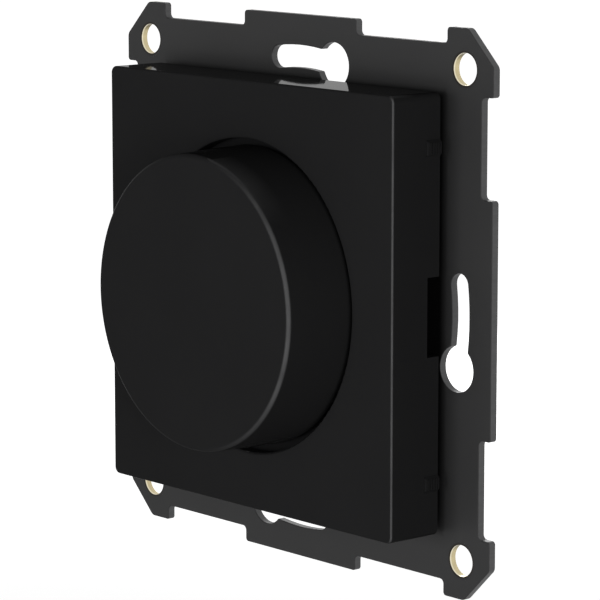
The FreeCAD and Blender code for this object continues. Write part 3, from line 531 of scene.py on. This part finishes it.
def lined_hole(name, settings, plate, centre, bore, front):
    """Bare brass with a painted highlight at the rim and painted shade at the top of the bore, and paint
    over its ends with a ring of painted shade round the front mouth.
    """
    material, shader, at = new_finish(name, {"Specular IOR Level": plate.gloss_level})
    x, y, z = at["Object"].split()
    edge = effect(at, "Cut edge", {"Facing": at["Normal"]})
    rings = rings_of(at, settings.ring_size)
    brass = rings["Bands"].shade(settings.brass, 0.9, 1.08)
    # Painted shade where the bore's wall faces down, at the top of the bore.
    shaded = at["Normal"].split()[2].between(1.0, 0.0, start=-0.8, end=-0.45)
    brass = shaded.blend(brass, settings.bore_shade)
    # Painted highlight along the bore's front rim.
    rim = (y - front).between(1.0, 0.0, settings.rim_highlight_depth / 2, settings.rim_highlight_depth)
    brass = rim.blend(brass, settings.rim)
    # A dark ring of painted shade round the front mouth, where the liner meets the plate.
    off_axis = vector_of(at.tree, abs(x) - centre, 0.0, abs(z) - centre).reach()
    unshaded = off_axis.between(0.0, 1.0, bore + settings.mouth_shade_width / 3, bore + settings.mouth_shade_width)
    shader.feed({
        "Base Color": edge["Mask"].blend(unshaded.blend(settings.mouth_shade, plate.paint), brass),
        "Metallic": edge["Mask"],
        "Roughness": edge["Mask"].between(plate.roughness, settings.roughness),
        "Normal": relief(rings["Height"], settings.ring_depth)})
    return material


def turned_metal(name, rgb, roughness, ring_size):
    """Plated or bare metal with fine rings round its axis."""
    material, shader, at = new_finish(name, {"Metallic": 1.0})
    rings = rings_of(at, ring_size)
    shader.feed({
        "Base Color": rings["Bands"].shade(rgb, 0.92, 1.05),
        "Roughness": rings["Bands"].about(roughness, spread=0.05),
        "Normal": relief(rings["Height"], depth=0.0015 * MM)})
    return material


def rolled_metal(name, rgb, roughness):
    """Spring sheet with the fine lines of the rolling mill."""
    material, shader, at = new_finish(name, {"Metallic": 1.0})
    fine = (60.0, 9000.0, 9000.0)
    drawn = add_node(at.tree, "ShaderNodeMapping", {"Vector": at["Object"], "Scale": fine})
    lines = noise(drawn["Vector"], scale=1.0, detail=3.0)
    shader.feed({
        "Base Color": lines.shade(rgb, 0.9, 1.08),
        "Roughness": lines.about(roughness, spread=0.07),
        "Normal": relief(lines, depth=0.001 * MM)})
    return material


def board_laminate(name, settings):
    """Solder mask over copper tracks, with bare pads."""
    material, shader, at = new_finish(name, {})
    quarter = (math.pi / 2, 0.0, 0.0)
    lying = add_node(at.tree, "ShaderNodeMapping", {"Vector": at["Object"], "Rotation": quarter})
    copper = effect(at, "Copper tracks", {"Place": lying["Vector"], "Cells per metre": 420.0})
    mask = copper["Track"].blend(settings.track, settings.mask)
    shader.feed({
        "Base Color": copper["Pad"].blend(mask, settings.solder),
        "Metallic": copper["Pad"],
        "Roughness": copper["Pad"].between(0.35, 0.28),
        "Normal": relief(copper["Track"], depth=-0.02 * MM)})
    return material


def chip_capacitor(name, settings, middle):
    """Ceramic in the middle of each body and tinned ends."""
    material, shader, at = new_finish(name, {"Roughness": 0.4})
    tinned = abs(at["Object"].split()[2] - middle).above(settings.ceramic_reach)
    grain = grain_of(at, MM / 9)
    ceramic = grain["Drift"].shade(settings.ceramic, 0.8, 1.1)
    shader.feed({
        "Base Color": tinned.blend(ceramic, settings.solder),
        "Metallic": tinned,
        "Normal": relief(grain["Height"], depth=0.004 * MM)})
    return material


def cast_resin(name, rgb, roughness):
    """Moulded epoxy or acetal with a fine even grain."""
    material, shader, at = new_finish(name, {"Specular IOR Level": 0.4})
    grain = grain_of(at, MM / 8)
    shader.feed({
        "Base Color": grain["Drift"].shade(rgb, 0.9, 1.1),
        "Roughness": grain["Drift"].about(roughness, spread=0.05),
        "Normal": relief(grain["Height"], depth=0.005 * MM)})
    return material


def dress(material, *nodes):
    """Gives packed nodes their finish."""
    for name in nodes:
        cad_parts[name].material_slots[0].material = material


# Meshes

def arc_round(before, here, after, rounding, steps):
    """Points that round a corner, with one more just outside each end to keep the sides flat in shading."""
    to_before = (before - here).normalized()
    to_after = (after - here).normalized()
    half = to_before.angle(to_after) / 2
    run = rounding / math.tan(half)
    centre = here + (to_before + to_after).normalized() * (rounding / math.sin(half))
    first = here + to_before * run - centre
    last = here + to_after * run - centre
    outside = 0.05 * rounding
    arc = [first.lerp(last, step / steps).normalized() * rounding for step in range(steps + 1)]
    return [centre + point for point in (first + to_before * outside, *arc, last + to_after * outside)]


def profile_mesh(name, corners, steps=8):
    """A line of edges through (radius, depth, rounding) corners: X is the radius and Y the depth."""
    flat = [Vector(corner[:2]) for corner in corners]
    points = []
    for index, (_, _, rounding) in enumerate(corners):
        if rounding == 0:
            points.append(flat[index])
        else:
            points += arc_round(flat[index - 1], flat[index], flat[index + 1], rounding, steps)
    mesh = bpy.data.meshes.new(name)
    mesh.from_pydata([(point.x, point.y, 0.0) for point in points],
                     [(index, index + 1) for index in range(len(points) - 1)], [])
    return mesh


def tidy_mesh(mesh, crease_degrees=35):
    """Merges doubles, turns the faces outwards and shades smooth up to a crease."""
    work = bmesh.new()
    work.from_mesh(mesh)
    bmesh.ops.remove_doubles(work, verts=work.verts, dist=MERGE)
    bmesh.ops.recalc_face_normals(work, faces=work.faces)
    work.to_mesh(mesh)
    work.free()
    mesh.shade_smooth()
    mesh.set_sharp_from_angle(angle=math.radians(crease_degrees))


def add_object(name, data):
    made = bpy.data.objects.new(name, data)
    bpy.context.collection.objects.link(made)
    return made


def run_nodes(name, start, tree, size, **values):
    """Runs a Geometry Nodes tree on a start mesh and keeps the result as a plain object. Each of the tree's
    inputs is found by its name in the values, or else among the sizes."""
    worker = add_object(name + "_start", start)
    modifier = worker.modifiers.new("shape", "NODES")
    modifier.node_group = tree
    for item in tree.interface.items_tree:
        if item.in_out == "INPUT" and item.socket_type != "NodeSocketGeometry":
            label = item.name.lower().replace(" ", "_")
            modifier[item.identifier] = values[label] if label in values else getattr(size, label)
    bpy.context.view_layer.update()
    shown = worker.evaluated_get(bpy.context.evaluated_depsgraph_get())
    mesh = bpy.data.meshes.new_from_object(shown)
    mesh.name = name
    bpy.data.objects.remove(worker)
    if not mesh.polygons:
        raise RuntimeError(name + " came out empty")
    tidy_mesh(mesh)
    mesh.materials.clear()
    mesh.materials.append(values["material"])
    mesh.polygons.foreach_set("material_index", [0] * len(mesh.polygons))
    return add_object(name, mesh)


# Geometry Nodes

TURNED = {"Profile": "Geometry", "Segments": "Int"}
ROUND_AXIS = {"Count": "Int", **floats("Reach", "First angle")}
ON_POINTS = {"Points": "Geometry"}
FINISH = {"Material": "Material"}
SHAPE = {"Geometry": "Geometry"}


def new_tree(name, inputs):
    return new_group(name, "Geometry", {**inputs, **FINISH}, SHAPE)


def finish_tree(given, result, shape):
    """The end of every tree: real geometry with its material."""
    real = add_node(given.tree, "GeometryNodeRealizeInstances", {"Geometry": shape})
    painted = add_node(given.tree, "GeometryNodeSetMaterial", {
        "Geometry": real["Geometry"], "Material": given["Material"]})
    result.feed({"Geometry": painted["Geometry"]})
    return given.tree


def lathe():
    """Turns a line of points about Y: X is a point's radius and Y its depth."""
    given, result = new_group("Lathe", "Geometry", TURNED, SHAPE)
    tree, profile, segments = given.tree, given["Profile"], given["Segments"]
    rows = add_node(tree, "GeometryNodeAttributeDomainSize", {"Geometry": profile}, component="MESH")
    count = rows["Point Count"]
    grid = add_node(tree, "GeometryNodeMeshGrid", {"Vertices X": segments + 1.0, "Vertices Y": count})
    index = add_node(tree, "GeometryNodeInputIndex")["Index"]
    turn = ((index + 0.5) / count).math("FLOOR") * math.tau / segments
    place = add_node(tree, "GeometryNodeInputPosition")["Position"]
    point = add_node(tree, "GeometryNodeSampleIndex", {
        "Geometry": profile, "Value": place, "Index": index.math("MODULO", count)},
        data_type="FLOAT_VECTOR", domain="POINT")
    radius, depth, _ = point["Value"].split()
    laid = add_node(tree, "GeometryNodeSetPosition", {
        "Geometry": grid["Mesh"],
        "Position": vector_of(tree, radius * turn.math("COSINE"), depth, radius * turn.math("SINE"))})
    closed = add_node(tree, "GeometryNodeMergeByDistance", {"Geometry": laid["Geometry"], "Distance": MERGE})
    result.feed({"Geometry": closed["Geometry"]})


def turned_on_lathe(given):
    inputs = {label: given[label] for label in TURNED}
    turned = add_node(given.tree, "GeometryNodeGroup", inputs, node_tree=bpy.data.node_groups["Lathe"])
    return turned["Geometry"]


def moved(shape, **inputs):
    """The shape with a Translation, a Rotation or a Scale."""
    return add_node(shape.tree, "GeometryNodeTransform", {"Geometry": shape, **inputs})["Geometry"]


def box_of(size, place):
    return moved(add_node(size.tree, "GeometryNodeMeshCube", {"Size": size})["Mesh"], Translation=place)


def joined(*pieces):
    node = add_node(pieces[0].tree, "GeometryNodeJoinGeometry")
    for piece in pieces:
        node.feed({"Geometry": piece})
    return node["Geometry"]


def carved(body, tools):
    """The body with the tools' solids cut away."""
    node = add_node(body.tree, "GeometryNodeMeshBoolean", operation="DIFFERENCE", solver="EXACT")
    node.feed({"Mesh 1": body})
    for tool in tools:
        node.feed({"Mesh 2": tool})
    return node["Mesh"]


def points_round_axis(given):
    """Points on a circle round the dimmer's axis."""
    circle = add_node(given.tree, "GeometryNodeMeshCircle", {
        "Vertices": given["Count"], "Radius": given["Reach"]})
    stood = moved(circle["Mesh"], Rotation=(math.pi / 2, 0.0, 0.0))
    return moved(stood, Rotation=vector_of(given.tree, y=given["First angle"]))


def placed_on(points, piece, turn=0.0):
    """A copy of the piece on each point, turned by an angle about the axis along Y."""
    inputs = {"Points": points, "Instance": piece, "Rotation": vector_of(points.tree, y=turn)}
    return add_node(points.tree, "GeometryNodeInstanceOnPoints", inputs)["Instances"]


def turned_copies():
    """A turned piece, repeated on a circle round the dimmer's axis."""
    given, result = new_tree("Turned copies", {**TURNED, **ROUND_AXIS})
    return finish_tree(given, result, placed_on(points_round_axis(given), turned_on_lathe(given)))


def ribbed_knob():
    """A turned cap with straight ribs under its face and a flat in its bore."""
    given, result = new_tree("Ribbed knob", {
        **TURNED, "Rib count": "Int", **floats("Inside", "Rib width", "Rib depth", "Rib start", "Rib end"),
        "Flat size": "Vector", "Flat place": "Vector"})
    tree, start, depth = given.tree, given["Rib start"], given["Rib depth"]
    long = given["Rib end"] - start
    rib = box_of(vector_of(tree, long, depth, given["Rib width"]),
                 vector_of(tree, start + long * 0.5, given["Inside"] + depth * 0.5))
    spokes = add_node(tree, "GeometryNodePoints", {"Count": given["Rib count"]})["Points"]
    turn = add_node(tree, "GeometryNodeInputIndex")["Index"] * math.tau / given["Rib count"]
    flat = box_of(given["Flat size"], given["Flat place"])
    return finish_tree(given, result, joined(turned_on_lathe(given), flat, placed_on(spokes, rib, turn)))


def cross_of(reach, width, depth, place):
    """The two arms of an upright cross, as solids that stand as deep in front of the place as behind it."""
    deep, long = depth * 2.0, reach * 2.0
    return [box_of(vector_of(reach.tree, x, deep, z), place) for x, z in ((long, width), (width, long))]


def screw_thread(given):
    """A ridge that winds along the shank from near its tip."""
    tree, long, depth = given.tree, given["Thread length"], given["Thread depth"]
    root = given["Thread radius"] - depth
    spiral = add_node(tree, "GeometryNodeCurveSpiral", {
        "Resolution": 24, "Rotations": long / given["Thread pitch"], "Height": long,
        "Start Radius": root, "End Radius": root})
    ridge = add_node(tree, "GeometryNodeCurvePrimitiveCircle", {"Resolution": 4, "Radius": depth})
    swept = add_node(tree, "GeometryNodeCurveToMesh", {
        "Curve": spiral["Curve"], "Profile Curve": ridge["Curve"], "Fill Caps": True})
    laid = moved(swept["Mesh"], Rotation=(math.pi / 2, 0.0, 0.0))
    return moved(laid, Translation=vector_of(tree, y=given["Thread start"]))


def screws():
    """Pan-head screws with a cross in the head and a wound thread, each turned as it happened to stop."""
    given, result = new_tree("Screws", {
        **TURNED, **ROUND_AXIS, **floats(
            "Head face", "Drive width", "Drive reach", "Drive depth", "Thread start", "Thread length",
            "Thread radius", "Thread depth", "Thread pitch"), "Seed": "Int"})
    face = vector_of(given.tree, y=given["Head face"])
    drive = cross_of(given["Drive reach"], given["Drive width"], given["Drive depth"], face)
    whole = joined(carved(turned_on_lathe(given), drive), screw_thread(given))
    chance = add_node(given.tree, "FunctionNodeRandomValue", {"Seed": given["Seed"], 3: math.tau},
                      data_type="FLOAT")
    return finish_tree(given, result, placed_on(points_round_axis(given), whole, chance[1]))


def stamped_can():
    """A turned can with a plus sign stamped into its back."""
    given, result = new_tree("Stamped can", {
        **TURNED, **floats("Sign reach", "Sign width", "Sign depth"), "Sign place": "Vector"})
    sign = cross_of(given["Sign reach"], given["Sign width"], given["Sign depth"], given["Sign place"])
    return finish_tree(given, result, carved(turned_on_lathe(given), sign))


def pad_ribs():
    """A low bar on each point of the start mesh."""
    given, result = new_tree("Pad ribs", {**ON_POINTS, "Rib size": "Vector"})
    bar = add_node(given.tree, "GeometryNodeMeshCube", {"Size": given["Rib size"]})["Mesh"]
    return finish_tree(given, result, placed_on(given["Points"], bar))


def solder_joints():
    """A small dome of solder on each point of the start mesh."""
    given, result = new_tree("Solder joints", {**ON_POINTS, **floats("Joint size", "Joint height")})
    size = given["Joint size"]
    ball = add_node(given.tree, "GeometryNodeMeshUVSphere", {"Segments": 12, "Rings": 8, "Radius": size})
    dome = moved(ball["Mesh"], Scale=vector_of(given.tree, 1.0, given["Joint height"] / size, 1.0))
    return finish_tree(given, result, placed_on(given["Points"], dome))


# Stage

# Each lamp with its power and, in degrees, its heading to the right of the front and its height
LAMPS = (
    ("key_lamp", "key_power", 62, 3),
    ("front_lamp", "front_power", -2, 0),
    ("back_lamp", "back_power", 215, 8),
)


def seen_rays(tree):
    """1 for the rays that show a surface itself: to the camera, in gloss and through glass."""
    rays = add_node(tree, "ShaderNodeLightPath")
    return rays["Is Camera Ray"].or_more(rays["Is Glossy Ray"]).or_more(rays["Is Transmission Ray"])


def floor_finish(settings):
    """Pale floor: white to the camera and to gloss, and still darker where the dimmer shades it."""
    material = bpy.data.materials.new("pale_floor")
    material.use_nodes = True
    tree = material.node_tree
    tree.nodes.clear()
    away = add_node(tree, "ShaderNodeTexCoord")["Object"].reach()
    white = away.between(settings.floor_lift, 1.0, settings.shadow_reach / 3, settings.shadow_reach)
    matt = add_node(tree, "ShaderNodeBsdfDiffuse", {"Color": opaque(settings.floor_colour)})
    glow = add_node(tree, "ShaderNodeEmission", {"Color": WHITE, "Strength": seen_rays(tree) * white})
    both = add_node(tree, "ShaderNodeAddShader", {0: matt["BSDF"], 1: glow["Emission"]})
    add_node(tree, "ShaderNodeOutputMaterial", {"Surface": both["Shader"]})
    return material


def make_floor(settings):
    bottom = CAD_BOX[0].z - settings.floor_drop
    work = bmesh.new()
    bmesh.ops.create_circle(work, cap_ends=True, segments=96, radius=settings.floor_reach)
    bmesh.ops.translate(work, verts=work.verts, vec=(0.0, 0.0, bottom))
    mesh = bpy.data.meshes.new("floor")
    work.to_mesh(mesh)
    work.free()
    mesh.materials.append(floor_finish(settings))
    floor = add_object("floor", mesh)


def make_world(settings):
    world = bpy.data.worlds.new("studio")
    world.use_nodes = True
    tree = world.node_tree
    tree.nodes.clear()
    light = add_node(tree, "ShaderNodeBackground", {
        "Color": WHITE, "Strength": seen_rays(tree).between(settings.room_light, 1.0)})
    add_node(tree, "ShaderNodeOutputWorld", {"Surface": light["Background"]})
    bpy.context.scene.world = world


def outwards(heading, rise):
    """The way out from the dimmer at a heading to the right of its front and a rise."""
    return Vector((math.sin(heading) * math.cos(rise), -math.cos(heading) * math.cos(rise), math.sin(rise)))


def place_aimed(name, data, place, away):
    """A lamp or a camera at a place, looking against the way out."""
    holder = add_object(name, data)
    holder.location = place
    holder.rotation_euler = (-away).to_track_quat("-Z", "Y").to_euler()
    return holder


def make_lamp(settings, name, power, heading, height):
    """A square soft lamp that points at the dimmer."""
    lamp = bpy.data.lights.new(name, "AREA")
    lamp.energy = getattr(settings, power)
    lamp.size = settings.lamp_size
    away = outwards(math.radians(heading), math.radians(height))
    place_aimed(name, lamp, away * settings.lamp_reach, away).visible_camera = False


def make_camera(settings):
    lens = bpy.data.cameras.new("camera")
    lens.sensor_width = 36.0
    lens.lens = settings.lens
    lens.clip_start, lens.clip_end = 0.01, 50.0
    away = outwards(settings.camera_heading, settings.camera_dip)
    bpy.context.scene.camera = place_aimed("camera", lens, settings.camera_place, away)


class DIMMER_OT_make_stage(bpy.types.Operator):
    """Make the pale floor, the soft lamps and the camera"""
    bl_idname = "dimmer.make_stage"
    bl_label = "Stage"

    def execute(self, context):
        settings = context.scene.dimmer_stage
        context.scene.view_settings.view_transform = "Standard"
        make_floor(settings)
        make_world(settings)
        make_camera(settings)
        for lamp in LAMPS:
            make_lamp(settings, *lamp)
        return {"FINISHED"}


# Pieces

def replace_nodes(piece, body, slot, *nodes):
    """The new piece rides on its body and stands for packed nodes."""
    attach(piece, body)
    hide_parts(*nodes)


class DIMMER_OT_make_effects(bpy.types.Operator):
    """Build the node groups that the finishes and the turned pieces share"""
    bl_idname = "dimmer.make_effects"
    bl_label = "Shared effects"

    def execute(self, context):
        for make in (moulded_grain, cut_edge, paint_edge_highlights, turned_rings, copper_tracks, lathe):
            make()
        return {"FINISHED"}


class DIMMER_OT_make_knob(bpy.types.Operator):
    """Turn the knob and put in its ribs"""
    bl_idname = "dimmer.make_knob"
    bl_label = "Knob"

    def execute(self, context):
        size = context.scene.dimmer_knob
        low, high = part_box("knob")
        face, foot, base = low.y, high.y, high.x
        inside = face + size.face_wall
        boss_foot = face + size.boss_depth
        bore_end = face + size.bore_end
        rib_foot = inside + size.rib_depth
        taper = (base - size.front_radius) / (foot - face)
        inner = size.front_radius - size.wall + taper * size.face_wall
        ring_out = size.ring_radius + size.rib_width / 2
        ring_in = size.ring_radius - size.rib_width / 2
        profile = profile_mesh("knob_profile", [
            (0, face, 0), (size.front_radius, face, size.edge_round), (base, foot, 0),
            (base - size.wall, foot, 0), (inner, inside, 0), (ring_out, inside, 0), (ring_out, rib_foot, 0),
            (ring_in, rib_foot, 0), (ring_in, inside, 0), (size.boss_radius, inside, 0),
            (size.boss_radius, boss_foot, 0), (size.bore_radius, boss_foot, 0),
            (size.bore_radius, bore_end, 0), (0, bore_end, 0)], steps=12)
        flat_height = size.flat_root - size.flat
        piece = run_nodes(
            "knob_cap", profile, ribbed_knob(), size, segments=256, inside=inside,
            rib_start=(size.boss_radius + size.bore_radius) / 2, rib_end=inner + size.wall / 4,
            flat_size=(size.boss_radius, size.flat_depth, flat_height),
            flat_place=(0.0, inside + size.flat_depth / 2, size.flat + flat_height / 2),
            material=moulded_plastic("knob_plastic", context.scene.dimmer_moulding, face))
        replace_nodes(piece, "knob", "black_plastic", "knob")
        return {"FINISHED"}


class DIMMER_OT_dress_cover(bpy.types.Operator):
    """Give the cover its black moulded plastic and the ribs on its side pads"""
    bl_idname = "dimmer.dress_cover"
    bl_label = "Cover"

    def execute(self, context):
        moulding, ribs = context.scene.dimmer_moulding, context.scene.dimmer_pad_ribs
        low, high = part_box("cover")
        finish = moulded_plastic("cover_plastic", moulding, low.y, moulding.top_polish)
        dress(finish, "cover")
        rows = [high.y - ribs.start - ribs.pitch * rib for rib in range(ribs.count)]
        points = bpy.data.meshes.new("rib_points")
        points.from_pydata(
            [(x, y, z) for x in (low.x, high.x) for z in (-ribs.place, ribs.place) for y in rows], [], [])
        rib_size = (2 * ribs.height, ribs.width, ribs.long)
        piece = run_nodes("pad_ribs", points, pad_ribs(), ribs, rib_size=rib_size, material=finish)
        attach(piece, "root")
        return {"FINISHED"}


class DIMMER_OT_dress_plate(bpy.types.Operator):
    """Paint the support frame"""
    bl_idname = "dimmer.dress_plate"
    bl_label = "Support frame"

    def execute(self, context):
        cover_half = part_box("cover")[1].z
        dress(painted_plate("painted_steel", context.scene.dimmer_plate, cover_half), "support_frame")
        return {"FINISHED"}


class DIMMER_OT_make_hole_liners(bpy.types.Operator):
    """Line the four corner holes with brass"""
    bl_idname = "dimmer.make_hole_liners"
    bl_label = "Hole liners"

    def execute(self, context):
        size = context.scene.dimmer_hole_liners
        low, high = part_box("eyelet_top_right")
        centre = (low + high) / 2
        outer = (high.x - low.x) / 2
        bore = outer - size.wall
        profile = profile_mesh("liner_profile", [
            (outer, low.y, 0), (outer, high.y, 0), (bore, high.y, size.mouth_round),
            (bore, low.y, size.mouth_round), (outer, low.y, 0)])
        piece = run_nodes(
            "hole_liners", profile, turned_copies(), size, segments=96, count=4,
            reach=math.hypot(centre.x, centre.z), first_angle=math.pi / 4,
            material=lined_hole("bare_brass", size, context.scene.dimmer_plate, centre.x, bore, low.y))
        replace_nodes(piece, "root", "eyelet_brass", "eyelet_top_right", "eyelet_top_left",
                      "eyelet_bottom_left", "eyelet_bottom_right")
        return {"FINISHED"}


def make_screws(node, size, head_radius, head_height, shank_radius, at_corners, finish):
    """Four screws that stand for a packed node, at the corners of a square or on the axes."""
    low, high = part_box(node)
    face, tip = low.y, high.y
    seat = face + head_height
    root = shank_radius - size.thread_depth
    centre = high.x - head_radius
    profile = profile_mesh(node + "_profile", [
        (0, face, 0), (head_radius, face, size.head_dome), (head_radius, seat, 0), (root, seat, 0),
        (root, tip - root / 2, 0), (root / 2, tip, 0), (0, tip, 0)])
    piece = run_nodes(
        node + "_turned", profile, screws(), size, segments=48, count=4,
        reach=centre * math.sqrt(2) if at_corners else centre,
        first_angle=math.pi / 4 if at_corners else 0.0,
        head_face=face, thread_start=tip - root / 2, thread_length=tip - seat - root,
        thread_radius=shank_radius, material=finish)
    replace_nodes(piece, "root", "screw_steel", node)


class DIMMER_OT_make_screws(bpy.types.Operator):
    """Turn the lid screws and the frame screws and wind their threads"""
    bl_idname = "dimmer.make_screws"
    bl_label = "Screws"

    def execute(self, context):
        size = context.scene.dimmer_screws
        finish = turned_metal("zinc_plated_steel", size.steel, roughness=0.35, ring_size=0.15 * MM)
        make_screws("lid_screws", size, size.lid_head, size.lid_head_height, size.lid_shank, True, finish)
        make_screws(
            "frame_screws", size, size.frame_head, size.frame_head_height, size.frame_shank, False, finish)
        return {"FINISHED"}


class DIMMER_OT_dress_housing(bpy.types.Operator):
    """Give the tray and its lid their plastic"""
    bl_idname = "dimmer.dress_housing"
    bl_label = "Tray and lid"

    def execute(self, context):
        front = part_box("module_lid")[0].y
        finish = moulded_plastic("housing_plastic", context.scene.dimmer_housing, front)
        dress(finish, "module_tray", "module_lid")
        return {"FINISHED"}


class DIMMER_OT_make_cell(bpy.types.Operator):
    """Turn the coin cell, stamp its sign and finish its contacts and the other spring sheet"""
    bl_idname = "dimmer.make_cell"
    bl_label = "Coin cell"

    def execute(self, context):
        size = context.scene.dimmer_cell
        low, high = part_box("coin_cell")
        back, front, radius = high.y, low.y, high.x
        shoulder = front + size.cap_step
        rim_in = radius - size.rim_width
        profile = profile_mesh("cell_profile", [
            (0, back, 0), (radius, back, size.edge_round), (radius, shoulder, size.edge_round * 0.8),
            (rim_in, shoulder, size.edge_round * 0.3), (rim_in, shoulder + size.cap_step, 0),
            (size.cap_radius, shoulder + size.cap_step, 0), (size.cap_radius, front, size.cap_step * 0.6),
            (0, front, 0)])
        piece = run_nodes(
            "coin_cell_turned", profile, stamped_can(), size, segments=128,
            sign_place=(0.0, back, size.sign_height),
            material=turned_metal("nickel_plated_can", size.can, roughness=0.3, ring_size=0.1 * MM))
        replace_nodes(piece, "root", "cell_steel", "coin_cell")
        sheet = rolled_metal("contact_metal", size.contact, roughness=0.3)
        dress(sheet, "cell_clip_right", "cell_clip_left", "cell_leaf", "radio_shield", "crystal_can",
              "encoder_bracket", "detent_spring", "switch_dome", "leaf_spring")
        return {"FINISHED"}


def joint_row(middle, pitch, count):
    """Places on both sides of a middle, a pitch apart."""
    return [middle + pitch * (joint - (count - 1) / 2) for joint in range(count)]


def joint_places(size):
    """Where the solder joints sit on the front of the circuit board."""
    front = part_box("circuit_board")[0].y
    radio_low, radio_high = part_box("radio_board")
    chip_low, chip_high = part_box("main_chip")
    encoder_low, encoder_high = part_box("encoder_housing")
    radio, chip = (radio_low + radio_high) / 2, (chip_low + chip_high) / 2
    right, up = Vector((1, 0, 0)), Vector((0, 0, 1))
    places = []
    for x in (radio_low.x, radio_high.x):
        places += joint_row(Vector((x, front, radio.z)), up * size.radio_pitch, size.radio_joints)
    for x in (chip_low.x, chip_high.x):
        places += joint_row(Vector((x, front, chip.z)), up * size.chip_pitch, size.chip_joints)
    for z in (chip_low.z, chip_high.z):
        places += joint_row(Vector((chip.x, front, z)), right * size.chip_pitch, size.chip_joints)
    below, above = encoder_low.z - size.pin_reach, encoder_high.z + size.pin_reach
    places += joint_row(Vector((0, front, below)), right * size.pin_pitch, count=3)
    places += joint_row(Vector((0, front, above)), right * size.pin_pitch * 2, count=2)
    return places


class DIMMER_OT_make_board(bpy.types.Operator):
    """Solder the circuit board and finish its parts"""
    bl_idname = "dimmer.make_board"
    bl_label = "Circuit board"

    def execute(self, context):
        size = context.scene.dimmer_board
        points = bpy.data.meshes.new("joint_points")
        points.from_pydata(joint_places(size), [], [])
        solder = turned_metal("solder", size.solder, roughness=0.25, ring_size=0.3 * MM)
        piece = run_nodes("solder_joints", points, solder_joints(), size, material=solder)
        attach(piece, "root")
        dress(board_laminate("board_laminate", size), "circuit_board", "radio_board")
        dress(cast_resin("chip_resin", size.resin, roughness=0.5), "main_chip", "encoder_housing")
        low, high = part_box("ceramic_capacitors")
        dress(chip_capacitor("capacitor_ceramic", size, (low.z + high.z) / 2), "ceramic_capacitors")
        return {"FINISHED"}


class DIMMER_OT_dress_encoder(bpy.types.Operator):
    """Finish the encoder's shaft and wheel"""
    bl_idname = "dimmer.dress_encoder"
    bl_label = "Encoder"

    def execute(self, context):
        settings = context.scene.dimmer_encoder
        shaft = turned_metal("shaft_aluminium", settings.aluminium, roughness=0.3, ring_size=0.15 * MM)
        dress(shaft, "encoder_shaft")
        dress(cast_resin("wheel_plastic", settings.wheel, roughness=0.45), "encoder_rotor")
        return {"FINISHED"}


SETTINGS = {
    "dimmer_moulding": DimmerMoulding,
    "dimmer_pad_ribs": DimmerPadRibs,
    "dimmer_knob": DimmerKnob,
    "dimmer_plate": DimmerPlate,
    "dimmer_hole_liners": DimmerHoleLiners,
    "dimmer_screws": DimmerScrews,
    "dimmer_housing": DimmerHousing,
    "dimmer_cell": DimmerCell,
    "dimmer_board": DimmerBoard,
    "dimmer_encoder": DimmerEncoder,
    "dimmer_stage": DimmerStage,
}
OPERATORS = (
    DIMMER_OT_make_effects,
    DIMMER_OT_make_knob,
    DIMMER_OT_dress_cover,
    DIMMER_OT_dress_plate,
    DIMMER_OT_make_hole_liners,
    DIMMER_OT_make_screws,
    DIMMER_OT_dress_housing,
    DIMMER_OT_make_cell,
    DIMMER_OT_make_board,
    DIMMER_OT_dress_encoder,
    DIMMER_OT_make_stage,
)


class DIMMER_PT_pieces(bpy.types.Panel):
    """Lists the dimmer's pieces and their settings"""
    bl_label = "Wireless rotary dimmer"
    bl_idname = "DIMMER_PT_pieces"
    bl_space_type = "VIEW_3D"
    bl_region_type = "UI"
    bl_category = "Dimmer"

    def draw(self, context):
        for operator in OPERATORS:
            self.layout.operator(operator.bl_idname)
        for name, group in SETTINGS.items():
            box = self.layout.box()
            box.label(text=group.__doc__)
            settings = getattr(context.scene, name)
            for label in group.__annotations__:
                box.prop(settings, label)


CLASSES = (*SETTINGS.values(), *OPERATORS, DIMMER_PT_pieces)


def register():
    for made in CLASSES:
        bpy.utils.register_class(made)
    for name, group in SETTINGS.items():
        setattr(bpy.types.Scene, name, bpy.props.PointerProperty(type=group))


def unregister():
    for name in SETTINGS:
        delattr(bpy.types.Scene, name)
    for made in reversed(CLASSES):
        bpy.utils.unregister_class(made)


def main():
    register()
    for operator in OPERATORS:
        category, name = operator.bl_idname.split(".")
        getattr(getattr(bpy.ops, category), name)()


if __name__ == "__main__":
    main()
